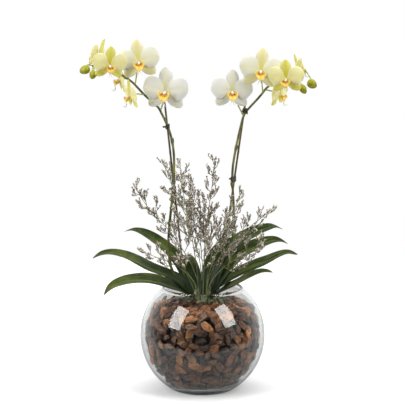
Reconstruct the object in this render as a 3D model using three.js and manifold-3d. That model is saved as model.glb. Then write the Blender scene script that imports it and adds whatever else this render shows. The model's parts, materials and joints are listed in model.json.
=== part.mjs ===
// Two moth orchids in flower, with sprigs of sea lavender, planted in pine bark in a round glass bowl.
// Millimetres, +Z up, +X to the right, -Y to the front. The origin is the centre of the bowl's flat foot.
import * as THREE from "three";
import { mergeVertices } from "three/addons/utils/BufferGeometryUtils.js";
import Module from "manifold-3d";

const wasm = await Module();
wasm.setup();

// ---- driving sizes ----

const CLEARANCE = 0.4; // gap kept between two pieces that touch
const GOLDEN_ANGLE = THREE.MathUtils.degToRad(137.5); // turn from one side branch to the next

// The bowl is a ball of glass, cut flat at its foot and at its mouth.
const BOWL = { bellyRadius: 100, footRadius: 47.5, mouthRadius: 62.6, wall: 3, floor: 9, sides: 32 };
const BARK = { belowRimAtWall: 29, belowRimInMiddle: 21, gapToGlass: 0.8 };
const CROWN = { radius: 7, depth: 19, height: 15, apart: 22, back: 2 };
const ROOT = { radius: 2, reach: 26, depth: 25, hump: 3, turns: [-20, 80, -95] }; // turns for the right crown
const STAKE = { radius: 1.6, aboveFloor: 24, top: 462, back: 13.5 };
const SPIKE = { radius: 2.4, tipRadius: 1.5, start: 3, stalkRadius: 1.1, stalkSetBack: 16, stalkStraight: 12 };
const TIE = { radius: 5.6, height: 10 };
const LEAF = { thickness: 2, fold: 0.3, baseShare: 0.45, belly: 0.45, steps: 12 };
const PETAL = { thickness: 1.3, steps: 3 };
const LIP = { thickness: 1.3, steps: 2, columnRadius: 2.3 };
const SPRIG = { stemRadius: 0.9, headRadius: 2, branches: 4, firstBranch: 0.5, lastBranch: 0.9 };

const FINISH = {
  glass: new THREE.MeshStandardMaterial({ color: 0xdfe8e6, roughness: 0.03, transparent: true, opacity: 0.35 }),
  bark: new THREE.MeshStandardMaterial({ color: 0x5a3520, roughness: 0.7 }),
  crown: new THREE.MeshStandardMaterial({ color: 0x7c8a5c, roughness: 0.6 }),
  stake: new THREE.MeshStandardMaterial({ color: 0x2e2016, roughness: 0.6 }),
  spike: new THREE.MeshStandardMaterial({ color: 0x3c4218, roughness: 0.5 }),
  tie: new THREE.MeshStandardMaterial({ color: 0x1f1a12, roughness: 0.7 }),
  leaf: new THREE.MeshStandardMaterial({ color: 0x2f4a1c, roughness: 0.35 }),
  petal: new THREE.MeshStandardMaterial({ color: 0xf3eecb, roughness: 0.5 }),
  lip: new THREE.MeshStandardMaterial({ color: 0xe9b52c, roughness: 0.45 }),
  bud: new THREE.MeshStandardMaterial({ color: 0xa8ac2a, roughness: 0.45 }),
  sprig: new THREE.MeshStandardMaterial({ color: 0x8f8187, roughness: 0.8 }),
};

const SIDES = ["left", "right"];
const FRONT = new THREE.Vector3(0, -1, 0);
const UP = new THREE.Vector3(0, 0, 1);

// ---- levels that follow from the bowl ----

const ballCentre = Math.sqrt(BOWL.bellyRadius ** 2 - BOWL.footRadius ** 2);
const rimLevel = ballCentre + Math.sqrt(BOWL.bellyRadius ** 2 - BOWL.mouthRadius ** 2);
const barkAtWall = rimLevel - BARK.belowRimAtWall;
const barkLevel = rimLevel - BARK.belowRimInMiddle;

// The planting below was set out with the bark at this level, and rides up or down with it.
const SET_OUT_LEVEL = 145;
const lift = barkLevel - SET_OUT_LEVEL;

const vector = (v) => new THREE.Vector3(...v);
const spot = ([x, y, z]) => new THREE.Vector3(x, y, z + lift);
const curve = (points) => new THREE.CatmullRomCurve3(points.map(spot), false, "centripetal");

// ---- the planting: every list of points starts at the root end and was set out by hand ----

const crownAt = {
  left: [-CROWN.apart / 2, CROWN.back],
  right: [CROWN.apart / 2, CROWN.back],
};

// Leaves: height on the crown, half width, the way the upper face looks, and the points after the crown.
const LEAVES = [
  { name: "left_leaf_back", side: "left", z: 154, halfWidth: 12.5, face: [0, -0.5, 0.87],
    points: [[-28, 20, 188], [-58, 38, 221], [-91, 51, 242], [-110, 57, 249], [-127, 60, 245]] },
  { name: "left_leaf_middle", side: "left", z: 151, halfWidth: 14, face: [0, -0.4, 0.92],
    points: [[-48, -2, 180], [-84, -6, 196], [-117, -10, 214], [-142, -12, 223], [-160, -12, 222], [-174, -12, 213]] },
  { name: "left_leaf_front", side: "left", z: 148, halfWidth: 15.5, face: [-0.1, -0.5, 0.86],
    points: [[-44, -26, 168], [-77, -46, 183], [-109, -64, 188], [-132, -74, 185], [-147, -82, 177], [-152, -86, 169]] },
  { name: "left_leaf_short", side: "left", z: 156, halfWidth: 13, face: [0, -0.7, 0.7],
    points: [[-16, 28, 182], [-24, 50, 198], [-30, 72, 202], [-34, 90, 195]] },
  { name: "right_leaf_back", side: "right", z: 156, halfWidth: 16.5, face: [-0.35, -0.6, 0.72],
    points: [[22, 18, 192], [50, 34, 224], [84, 45, 245], [104, 50, 253], [118, 53, 256], [130, 55, 250]] },
  { name: "right_leaf_middle", side: "right", z: 154, halfWidth: 17, face: [-0.25, -0.5, 0.83],
    points: [[26, 6, 178], [42, 9, 198], [72, 12, 221], [106, 13, 237], [124, 12, 239], [136, 12, 233]] },
  { name: "right_leaf_side", side: "right", z: 151, halfWidth: 13.5, face: [-0.15, -0.45, 0.88],
    points: [[32, -9, 173], [66, -17, 194], [104, -23, 212], [122, -25, 222], [138, -27, 227], [150, -28, 223]] },
  { name: "right_leaf_front", side: "right", z: 147, halfWidth: 14, face: [-0.1, -0.3, 0.95],
    points: [[31, -27, 164], [49, -40, 175], [65, -50, 186], [82, -60, 197], [97, -67, 204], [109, -72, 202]] },
  { name: "right_leaf_short", side: "right", z: 157, halfWidth: 13, face: [-0.2, -0.7, 0.68],
    points: [[14, 30, 190], [26, 50, 215], [42, 68, 228], [60, 84, 224]] },
];

// Flower stems, and the stalks of the buds at their ends.
const SPIKES = {
  left: {
    points: [[-24, 6, 158], [-40, 6, 176], [-51, 6, 198], [-54, 6, 226], [-54, 6, 250], [-51, 6, 282], [-48, 7, 310],
      [-45.5, 8, 345], [-45.5, 8, 380], [-50, 8, 408], [-59, 9, 432], [-72, 10, 454], [-89, 10, 470], [-109, 10, 490],
      [-127, 10, 504], [-146, 10, 511], [-164, 10, 514]],
    budStalks: [[[-173, 8, 519], [-180.5, 6, 518]], [[-166, 6, 512]]],
  },
  right: {
    points: [[22, 6, 160], [35, 6, 179], [44, 6, 208], [48, 6, 234], [49, 6, 260], [50, 7, 286], [49, 8, 308],
      [47.5, 8, 332], [47.5, 8, 352], [50, 8, 372], [54.5, 8, 396], [59.5, 8, 419], [65, 9, 439], [74, 10, 452],
      [90, 10, 469], [104, 10, 486], [120, 10, 496], [137, 10, 498], [151, 10, 494]],
    budStalks: [[[158, 8, 498], [166, 6, 495]], [[154.5, 5, 489]]],
  },
};

// Stakes lean outwards: x at the bark and x at the top.
const STAKES = { left: { low: -26, high: -60 }, right: { low: 24, high: 68 } };

// Heights of the ties.
const TIES = { left: [322, 421], right: [338, 446] };

// Flowers: the heart, where the petals meet, the size against a flower 72 mm wide, and the attitude in
// degrees. turn is about Z, nod tips the top forward, roll leans the top to the right, and swing is how
// far the two petals of a flower that is still opening stand forward.
const FLOWERS = {
  left: [
    { heart: [-58, -14, 479], size: 1, turn: -12, nod: 4, roll: 2 },
    { heart: [-99, -24, 526], size: 0.9, turn: 2, nod: 4, roll: -7 },
    { heart: [-143, -42, 522], size: 0.76, turn: 16, nod: 14, roll: 2 },
    { heart: [-166, 32, 529], size: 0.84, turn: -106, nod: -14, roll: -6, swing: 10 },
    { heart: [-131, 42, 495], size: 0.78, turn: -78, nod: 8, roll: 4 },
    { heart: [-113, -8, 472], size: 0.7, turn: -68, nod: 14, roll: 6 },
  ],
  right: [
    { heart: [46, -14, 479], size: 0.9, turn: 6, nod: 4, roll: 2 },
    { heart: [90.5, -24, 512], size: 0.92, turn: 0, nod: 4, roll: 6 },
    { heart: [129, -42, 501], size: 0.78, turn: -12, nod: 12, roll: -2 },
    { heart: [153, 32, 511], size: 0.7, turn: 102, nod: -12, roll: 6, swing: 10 },
    { heart: [122, -2, 475], size: 0.72, turn: 60, nod: 16, roll: -6 },
  ],
};

// Buds: the middle, the two radii and the way the tip points.
const BUDS = {
  left: [
    { middle: [-185.5, 6, 511.5], radius: 7, half: 8.6, tip: [-0.93, 0, -0.37] },
    { middle: [-172, 2, 504], radius: 5.9, half: 6.9, tip: [-0.38, -0.1, -0.92] },
  ],
  right: [
    { middle: [173, 6, 489.5], radius: 7.2, half: 8.4, tip: [0.8, 0, -0.6] },
    { middle: [158.5, 2, 481.5], radius: 5.8, half: 8, tip: [0.5, -0.1, -0.86] },
    { middle: [153, 13, 500], radius: 2.6, half: 3.4, tip: [0.3, 0.3, 0.9] },
  ],
};

// Sprigs: they come up together between the two crowns. spread is the length of the lowest side branch.
const SPRIGS = [
  { spread: 40, points: [[-5, -14, 118], [-9, -15, 185], [-46, -10, 250], [-84, -9, 292], [-109, -10, 332]] },
  { spread: 42, points: [[-1, 12, 118], [-3, 13, 200], [-26, 28, 275], [-46, 36, 315], [-62, 40, 362]] },
  { spread: 40, points: [[-5, -8, 118], [-8, -9, 190], [-22, -16, 280], [-31, -19, 325], [-35, -20, 366]] },
  { spread: 42, points: [[0, 19, 118], [-1, 20, 215], [-9, 24, 275], [-17, 27, 310], [-20, 26, 342]] },
  { spread: 42, points: [[1, 5, 118], [2, 7, 205], [9, 12, 285], [16, 16, 330], [20, 16, 370]] },
  { spread: 38, points: [[5, -8, 118], [8, -9, 190], [26, -16, 250], [46, -22, 286], [62, -26, 324]] },
  { spread: 34, points: [[5, -20, 118], [8, -24, 180], [22, -33, 228], [34, -38, 252], [43, -42, 282]] },
  { spread: 40, points: [[5, -14, 118], [9, -15, 180], [40, -14, 234], [76, -14, 266], [108, -16, 292]] },
  { spread: 30, points: [[-5, -20, 118], [-9, -26, 172], [-36, -38, 204], [-66, -46, 220], [-98, -48, 232]] },
  { spread: 30, points: [[5, -26, 118], [9, -32, 172], [38, -45, 210], [68, -50, 228], [100, -52, 250]] },
  { spread: 30, points: [[0, -26, 118], [1, -34, 172], [3, -43, 212], [4, -48, 235], [4, -50, 262]] },
  { spread: 24, points: [[-5, -26, 118], [-9, -33, 165], [-16, -40, 186], [-24, -44, 198], [-34, -48, 214]] },
];

// ---- solids ----

// A closed geometry as a solid that faces outwards.
function solidOf(geometry) {
  const bare = geometry.clone();
  for (const extra of ["normal", "uv"]) bare.deleteAttribute(extra);
  const merged = mergeVertices(bare, 1e-3);
  const corners = merged.index.array;
  const kept = [];
  for (let i = 0; i < corners.length; i += 3) {
    const [a, b, c] = corners.slice(i, i + 3);
    if (a !== b && b !== c && c !== a) kept.push(a, b, c);
  }
  const vertProperties = merged.attributes.position.array;
  const build = (triVerts) =>
    new wasm.Manifold(new wasm.Mesh({ numProp: 3, vertProperties, triVerts: new Uint32Array(triVerts) }));
  const solid = build(kept);
  return solid.volume() > 0 ? solid : build(kept.reverse());
}

const joined = (solids) => solids.reduce((sum, solid) => sum.add(solid));
const volume = (solid) => solid.volume();
const largest = (solid) => solid.decompose().reduce((best, body) => (volume(body) > volume(best) ? body : best));

// A skin over rings of points that all hold the same number of points, closed at both ends.
function skin(rings) {
  const sides = rings[0].length;
  const index = [];
  for (let i = 0; i + 1 < rings.length; i++)
    for (let j = 0; j < sides; j++) {
      const [a, b] = [i * sides + j, i * sides + ((j + 1) % sides)];
      index.push(a, b, b + sides, a, b + sides, a + sides);
    }
  const last = (rings.length - 1) * sides;
  for (let j = 1; j + 1 < sides; j++) index.push(0, j + 1, j, last, last + j, last + j + 1);
  const geometry = new THREE.BufferGeometry().setFromPoints(rings.flat());
  geometry.setIndex(index);
  return solidOf(geometry);
}

// The radius to draw a many-sided section with, so that its flats stand off by grow.
const grown = (radius, grow, sides) => radius + grow / Math.cos(Math.PI / sides);

// A tube of one radius along a line.
function tube(line, steps, sides, radius, grow) {
  const section = new THREE.Shape(
    Array.from({ length: sides }, (_, i) => {
      const turn = (2 * Math.PI * i) / sides;
      return new THREE.Vector2(Math.cos(turn), Math.sin(turn)).multiplyScalar(grown(radius, grow, sides));
    }),
  );
  return solidOf(new THREE.ExtrudeGeometry(section, { steps, extrudePath: line }));
}

// A limb whose radius changes: radiusAt gives it at each share of the length.
function limb(line, steps, sides, radiusAt, grow) {
  const frames = line.computeFrenetFrames(steps, false);
  const rings = Array.from({ length: steps + 1 }, (_, i) => {
    const centre = line.getPointAt(i / steps);
    const radius = grown(radiusAt(i / steps), grow, sides);
    return Array.from({ length: sides }, (_, j) => {
      const turn = (2 * Math.PI * j) / sides;
      return centre
        .clone()
        .addScaledVector(frames.normals[i], radius * Math.cos(turn))
        .addScaledVector(frames.binormals[i], radius * Math.sin(turn));
    });
  });
  return skin(rings);
}

// A blade such as a leaf or a petal: widthAt gives its half width at each share of its length, its
// edges rise above its middle by fold times that, and face is the way its upper side looks. It is
// thickest along the middle and thins out to its edges.
function blade({ line, steps, widthAt, thickness, fold, face }, grow) {
  const rings = [];
  for (let i = 0; i <= steps; i++) {
    const share = i / steps;
    const along = line.getTangentAt(share);
    const across = along.clone().cross(face).normalize();
    const out = across.clone().cross(along).normalize();
    const middle = line.getPointAt(share);
    if (i === 0) middle.addScaledVector(along, -grow);
    if (i === steps) middle.addScaledVector(along, grow);
    const half = widthAt(share) + grow;
    const rise = fold * widthAt(share);
    const point = (sideways, height) =>
      middle.clone().addScaledVector(across, sideways).addScaledVector(out, height);
    const edge = (way) =>
      grow > 0
        ? [point(way * half, rise + way * grow), point(way * half, rise - way * grow)]
        : [point(way * half, rise)];
    rings.push([...edge(-1), point(0, thickness / 2 + grow), ...edge(1), point(0, -thickness / 2 - grow)]);
  }
  return skin(rings);
}

// Half width of a blade that starts base wide, is widest at the share belly and closes to a round tip.
function leafShape(halfWidth, base, belly, tip) {
  return (share) => {
    if (share < belly) return base + (halfWidth - base) * Math.sin((Math.PI / 2) * (share / belly));
    const past = (share - belly) / (1 - belly);
    return Math.max(tip, halfWidth * Math.sqrt(1 - past ** 2.4));
  };
}

// A profile of [radius, height] pairs that starts and ends on the axis, turned about Z.
function turned(profile, sides) {
  const points = profile.map(([radius, height]) => new THREE.Vector2(radius, height));
  return solidOf(new THREE.LatheGeometry(points, sides).rotateX(Math.PI / 2));
}

// Points of an arc about the middle of the ball, from one height to another.
function ballArc(radius, from, to, steps) {
  const [start, end] = [from, to].map((z) => Math.asin((z - ballCentre) / radius));
  return Array.from({ length: steps + 1 }, (_, i) => {
    const angle = THREE.MathUtils.lerp(start, end, i / steps);
    return [radius * Math.cos(angle), ballCentre + radius * Math.sin(angle)];
  });
}

// ---- pieces: grow is how far every face of a piece is moved outwards ----

function buildBowl() {
  const shoulder = rimLevel - BOWL.wall / 2; // the rim is rounded over its wall
  const outside = ballArc(BOWL.bellyRadius, 0, shoulder, 9);
  const inside = ballArc(BOWL.bellyRadius - BOWL.wall, shoulder, BOWL.floor, 8);
  const crest = (outside.at(-1)[0] + inside[0][0]) / 2;
  return turned([[0, 0], ...outside, [crest, rimLevel], ...inside, [0, BOWL.floor]], BOWL.sides);
}

function buildBark() {
  const radius = BOWL.bellyRadius - BOWL.wall - BARK.gapToGlass;
  const side = ballArc(radius, BOWL.floor + BARK.gapToGlass, barkAtWall, 6);
  const mound = [0.7, 0.35].map((share) => [
    side.at(-1)[0] * share,
    THREE.MathUtils.lerp(barkLevel, barkAtWall, share ** 2),
  ]);
  return turned([[0, side[0][1]], ...side, ...mound, [0, barkLevel]], BOWL.sides);
}

// A crown is the short stub that the leaves and the flower stem grow from, with its aerial roots.
function buildCrown(side, grow) {
  const [x, y] = crownAt[side];
  const mirror = Math.sign(x);
  const level = (z) => new THREE.Vector3(x, y, z);
  const stub = limb(
    new THREE.LineCurve3(level(barkLevel - CROWN.depth), level(barkLevel + CROWN.height)),
    3,
    8,
    (share) => CROWN.radius * (1 - 0.35 * share ** 2),
    grow,
  );
  const roots = ROOT.turns.map((degrees) => {
    const turn = THREE.MathUtils.degToRad(degrees);
    const away = (share, height) =>
      new THREE.Vector3(
        x + mirror * ROOT.reach * share * Math.cos(turn),
        y + ROOT.reach * share * Math.sin(turn),
        barkLevel + height,
      );
    const path = [away(0, 0), away(0.45, ROOT.hump), away(1, -ROOT.depth)];
    return tube(new THREE.CatmullRomCurve3(path), 4, 5, ROOT.radius, grow);
  });
  return joined([stub, ...roots]);
}

function stakeLine(side) {
  const { low, high } = STAKES[side];
  const bottom = BOWL.floor + STAKE.aboveFloor;
  const lean = (high - low) / (STAKE.top - SET_OUT_LEVEL);
  const foot = low - lean * (barkLevel - bottom);
  return new THREE.LineCurve3(new THREE.Vector3(foot, STAKE.back, bottom), spot([high, STAKE.back, STAKE.top]));
}

function spikeLine(side) {
  return curve([[...crownAt[side], SET_OUT_LEVEL + SPIKE.start], ...SPIKES[side].points]);
}

function attitude({ turn, nod, roll }) {
  const [x, y, z] = [nod, roll, turn].map(THREE.MathUtils.degToRad);
  return new THREE.Quaternion().setFromEuler(new THREE.Euler(x, y, z, "ZXY"));
}

// The share of a line that is nearest to a point.
function nearestShare(line, point) {
  let best = 0;
  for (let share = 0; share <= 1; share += 0.005)
    if (line.getPointAt(share).distanceTo(point) < line.getPointAt(best).distanceTo(point)) best = share;
  return best;
}

// A flower's stalk leaves the stem a little before the point nearest the heart and comes to the
// flower from behind.
function stalkLine(side, flower) {
  const line = spikeLine(side);
  const heart = spot(flower.heart);
  const back = FRONT.clone().applyQuaternion(attitude(flower)).negate();
  const share = nearestShare(line, heart) - SPIKE.stalkSetBack / line.getLength();
  const start = line.getPointAt(share);
  const behind = (distance) => heart.clone().addScaledVector(back, distance);
  const approach = behind(SPIKE.stalkStraight);
  const end = behind(PETAL.thickness / 2 + CLEARANCE + SPIKE.stalkRadius);
  return new THREE.CatmullRomCurve3([start, start.clone().lerp(approach, 0.6), approach, end]);
}

function buildSpike(side, grow) {
  const { points, budStalks } = SPIKES[side];
  const taper = (share) => THREE.MathUtils.lerp(SPIKE.radius, SPIKE.tipRadius, share);
  return joined([
    limb(spikeLine(side), 32, 6, taper, grow),
    ...FLOWERS[side].map((flower) => tube(stalkLine(side, flower), 4, 5, SPIKE.stalkRadius, grow)),
    ...budStalks.map((stalk) => tube(curve([points.at(-1), ...stalk]), 3, 5, SPIKE.stalkRadius, grow)),
  ]);
}

// A tie is a band round the stem and the stake, at a height that both reach.
function buildTie(side, height, grow) {
  const z = height + lift;
  const middle = new THREE.Vector3();
  for (const line of [spikeLine(side), stakeLine(side)]) {
    let share = 0;
    while (line.getPointAt(share).z < z) share += 0.002;
    middle.addScaledVector(line.getPointAt(share), 0.5);
  }
  const [low, high] = [-1, 1].map((way) => middle.clone().addScaledVector(UP, (way * TIE.height) / 2));
  return tube(new THREE.LineCurve3(low, high), 1, 10, TIE.radius, grow);
}

function buildLeaf({ side, z, points, halfWidth, face }, grow) {
  const { steps, thickness, fold, baseShare, belly } = LEAF;
  const line = curve([[...crownAt[side], z], ...points]);
  const widthAt = leafShape(halfWidth, halfWidth * baseShare, belly, 0.6);
  return blade({ line, steps, widthAt, thickness, fold, face: vector(face) }, grow);
}

// A lobe of a flower, in the flower's own frame: -Y is the way it looks and +Z is its top.
function lobe({ kind, points, halfWidth, base, belly, fold, face = FRONT }, grow) {
  const line = new THREE.CatmullRomCurve3(points.map(vector), false, "centripetal");
  const widthAt = leafShape(halfWidth, base, belly, 1.2);
  return blade({ line, steps: kind.steps, widthAt, thickness: kind.thickness, fold, face }, grow);
}

// Three sepals, and two broad petals in front of them, that meet at the heart.
function buildPetals(swing, grow) {
  const forward = (s) => (p) => vector(p).applyAxisAngle(UP, THREE.MathUtils.degToRad(-s * swing)).toArray();
  const sepal = { kind: PETAL, halfWidth: 10, base: 4, belly: 0.55, fold: -0.1 };
  const petal = { kind: PETAL, halfWidth: 19.5, base: 5, belly: 0.58, fold: -0.06 };
  const pair = [1, -1].flatMap((s) => [
    lobe({ ...sepal, points: [[-s * 1.4, 0, 1.4], [s * 13, 0, -11], [s * 26, 2, -23]] }, grow),
    lobe({ ...petal, points: [[-s * 2, 0, -0.5], [s * 17, 0.5, 4], [s * 36, 5, 5]].map(forward(s)) }, grow),
  ]);
  return joined([lobe({ ...sepal, points: [[0, 0, -2], [0, -1, 18], [0, 1, 38]] }, grow), ...pair]);
}

// The lip's tongue and its two raised side lobes, and the column above them.
function buildLip(grow) {
  const tongue = { kind: LIP, halfWidth: 5.5, base: 2, belly: 0.45, fold: 0.2, face: vector([0, -0.8, 0.6]) };
  const wings = [1, -1].map((s) => {
    const wing = { kind: LIP, halfWidth: 4, base: 2.5, belly: 0.5, fold: 0.1, face: vector([-s, 0, 0.3]) };
    return lobe({ ...wing, points: [[s * 1.9, -3.6, -4.1], [s * 5.5, -8, -4], [s * 7.5, -11, 3]] }, grow);
  });
  const columnLine = new THREE.CatmullRomCurve3([[0, -1.4, -2.6], [0, -5, 0], [0, -9.5, -1]].map(vector));
  return joined([
    tube(columnLine, 2, 6, LIP.columnRadius, grow),
    lobe({ ...tongue, points: [[0, -2, -2], [0, -9, -8], [0, -10, -20]] }, grow),
    ...wings,
  ]);
}

// A bud is an egg with its blunt end on the stalk, drawn about its own middle with its tip up.
function buildBud({ radius, half }, grow) {
  const rings = 6;
  const profile = Array.from({ length: rings + 1 }, (_, i) => {
    const angle = -Math.PI / 2 + (Math.PI * i) / rings;
    const narrowing = 1 - 0.14 * Math.sin(angle);
    return [(radius + grow) * Math.cos(angle) * narrowing, (half + grow) * Math.sin(angle)];
  });
  profile[0][0] = profile[rings][0] = 0;
  return turned(profile, 8);
}

// A sprig's stem, with side branches that turn round it and swell where the small flowers sit.
function buildSprig({ points, spread }, grow) {
  const line = curve(points);
  const { branches, firstBranch, lastBranch, stemRadius, headRadius } = SPRIG;
  const radiusAt = (share) => (share < 0.5 ? stemRadius * 0.8 : headRadius * (1.3 - share));
  const sideBranches = Array.from({ length: branches }, (_, i) => {
    const share = THREE.MathUtils.lerp(firstBranch, lastBranch, i / branches);
    const along = line.getTangentAt(share);
    const aside = FRONT.clone().cross(along).normalize().applyAxisAngle(along, i * GOLDEN_ANGLE);
    const length = spread * (1 - 0.7 * (share - firstBranch));
    const reach = (forward, sideways) =>
      line
        .getPointAt(share)
        .addScaledVector(along, length * forward)
        .addScaledVector(aside, length * sideways);
    const branch = new THREE.QuadraticBezierCurve3(reach(0, 0), reach(0.3, 0.35), reach(0.85, 0.6));
    return limb(branch, 3, 4, radiusAt, grow);
  });
  return joined([tube(line, 8, 5, stemRadius, grow), ...sideBranches]);
}

// ---- assembly: a piece is cut by every piece placed before it, grown by the clearance ----

const object = new THREE.Group();
const placed = [];

function boxesMeet(a, b) {
  const [p, q] = [a.boundingBox(), b.boundingBox()];
  return p.min.every((low, i) => low < q.max[i] && q.min[i] < p.max[i]);
}

// pose is where the piece's own frame stands: build makes the piece in that frame.
function place(name, material, build, pose = new THREE.Matrix4()) {
  let solid = build(0).transform(pose.elements);
  for (const other of placed) {
    const touches = boxesMeet(solid, other) && solid.intersect(other).volume() > 0;
    if (touches) solid = largest(solid.subtract(other));
  }
  placed.push(build(CLEARANCE / pose.getMaxScaleOnAxis()).transform(pose.elements));
  const { vertProperties, triVerts } = solid.transform(pose.clone().invert().elements).getMesh();
  const geometry = new THREE.BufferGeometry();
  geometry.setAttribute("position", new THREE.BufferAttribute(vertProperties, 3));
  geometry.setIndex(new THREE.BufferAttribute(triVerts, 1));
  geometry.computeVertexNormals();
  const mesh = new THREE.Mesh(geometry, material);
  mesh.name = name;
  mesh.applyMatrix4(pose);
  object.add(mesh);
}

function pose(position, turn, size = 1) {
  return new THREE.Matrix4().compose(spot(position), turn, new THREE.Vector3(size, size, size));
}

for (const side of SIDES) {
  place(`${side}_stake`, FINISH.stake, (grow) => tube(stakeLine(side), 1, 8, STAKE.radius, grow));
  place(`${side}_crown_and_roots`, FINISH.crown, (grow) => buildCrown(side, grow));
  place(`${side}_flower_stem`, FINISH.spike, (grow) => buildSpike(side, grow));
  TIES[side].forEach((height, i) =>
    place(`${side}_tie_${i + 1}`, FINISH.tie, (grow) => buildTie(side, height, grow)),
  );
}
for (const leaf of LEAVES) place(leaf.name, FINISH.leaf, (grow) => buildLeaf(leaf, grow));
for (const side of SIDES) {
  FLOWERS[side].forEach((flower, i) => {
    const stand = pose(flower.heart, attitude(flower), flower.size);
    place(`${side}_flower_${i + 1}_lip`, FINISH.lip, buildLip, stand);
    const petals = (grow) => buildPetals(flower.swing ?? 0, grow);
    place(`${side}_flower_${i + 1}_petals`, FINISH.petal, petals, stand);
  });
  BUDS[side].forEach((bud, i) => {
    const turn = new THREE.Quaternion().setFromUnitVectors(UP, vector(bud.tip).normalize());
    place(`${side}_bud_${i + 1}`, FINISH.bud, (grow) => buildBud(bud, grow), pose(bud.middle, turn));
  });
}
SPRIGS.forEach((sprig, i) =>
  place(`sea_lavender_${i + 1}`, FINISH.sprig, (grow) => buildSprig(sprig, grow)),
);
place("bark_bed", FINISH.bark, buildBark);
place("glass_bowl", FINISH.glass, buildBowl);

export default object;
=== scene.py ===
"""Two moth orchids with sea lavender in a glass bowl of pine bark, dressed around their CAD model."""

import json
import logging
import math
from dataclasses import dataclass, field
from enum import Enum
from functools import lru_cache
from typing import Callable, Sequence

import bmesh
import bpy
import numpy as np
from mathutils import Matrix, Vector

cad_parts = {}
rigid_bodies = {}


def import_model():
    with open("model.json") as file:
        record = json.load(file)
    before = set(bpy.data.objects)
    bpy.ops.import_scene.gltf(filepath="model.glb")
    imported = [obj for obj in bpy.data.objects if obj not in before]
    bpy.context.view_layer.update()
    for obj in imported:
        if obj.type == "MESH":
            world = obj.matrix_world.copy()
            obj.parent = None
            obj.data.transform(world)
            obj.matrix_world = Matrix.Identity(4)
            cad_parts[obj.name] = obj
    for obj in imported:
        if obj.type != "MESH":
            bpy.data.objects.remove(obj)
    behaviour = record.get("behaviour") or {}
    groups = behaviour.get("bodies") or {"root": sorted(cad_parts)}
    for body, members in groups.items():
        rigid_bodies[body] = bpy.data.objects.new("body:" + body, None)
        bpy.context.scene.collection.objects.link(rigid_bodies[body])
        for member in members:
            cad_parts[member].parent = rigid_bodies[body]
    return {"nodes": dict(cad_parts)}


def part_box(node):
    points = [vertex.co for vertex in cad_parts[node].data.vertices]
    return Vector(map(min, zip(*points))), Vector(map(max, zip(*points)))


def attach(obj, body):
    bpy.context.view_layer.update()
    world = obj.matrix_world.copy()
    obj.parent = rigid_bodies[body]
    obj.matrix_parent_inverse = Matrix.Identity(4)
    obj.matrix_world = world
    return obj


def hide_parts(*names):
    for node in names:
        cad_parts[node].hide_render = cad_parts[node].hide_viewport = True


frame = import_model()

LOG = logging.getLogger("orchid_bowl")
MM = 0.001
BODY = "root"
FRONT = np.array((0.0, -1.0, 0.0))
UP = np.array((0.0, 0.0, 1.0))
GOLDEN_ANGLE = math.radians(137.5)
Colour = tuple[float, float, float]


# ---------------------------------------------------------------- writing node trees


class Value:
    """A socket that takes part in sums, so that a pattern reads as arithmetic."""

    def __init__(self, sheet: "Sheet", socket: bpy.types.NodeSocket) -> None:
        """Keep the socket and the sheet that its sums are written on."""
        self.sheet = sheet
        self.socket = socket

    def __add__(self, other: "Operand") -> "Value":
        """Sum of the two."""
        return self.sheet.math("ADD", self, other)

    __radd__ = __add__

    def __mul__(self, other: "Operand") -> "Value":
        """Product of the two."""
        return self.sheet.math("MULTIPLY", self, other)

    __rmul__ = __mul__

    def __sub__(self, other: "Operand") -> "Value":
        """This less the other."""
        return self.sheet.math("SUBTRACT", self, other)

    def __rsub__(self, other: "Operand") -> "Value":
        """The other less this."""
        return self.sheet.math("SUBTRACT", other, self)

    def __pow__(self, power: "Operand") -> "Value":
        """This raised to a power."""
        return self.sheet.math("POWER", self, power)

    def __abs__(self) -> "Value":
        """The size of this without its sign."""
        return self.sheet.math("ABSOLUTE", self, 0.0)

    def band(self, low: float, high: float) -> "Value":
        """Rise smoothly from 0 at low to 1 at high, or fall where low is the larger."""
        inputs = {"Value": self, "From Min": low, "From Max": high}
        return self.sheet.value("ShaderNodeMapRange", {"interpolation_type": "SMOOTHSTEP"}, inputs)


Operand = float | Value


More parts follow.
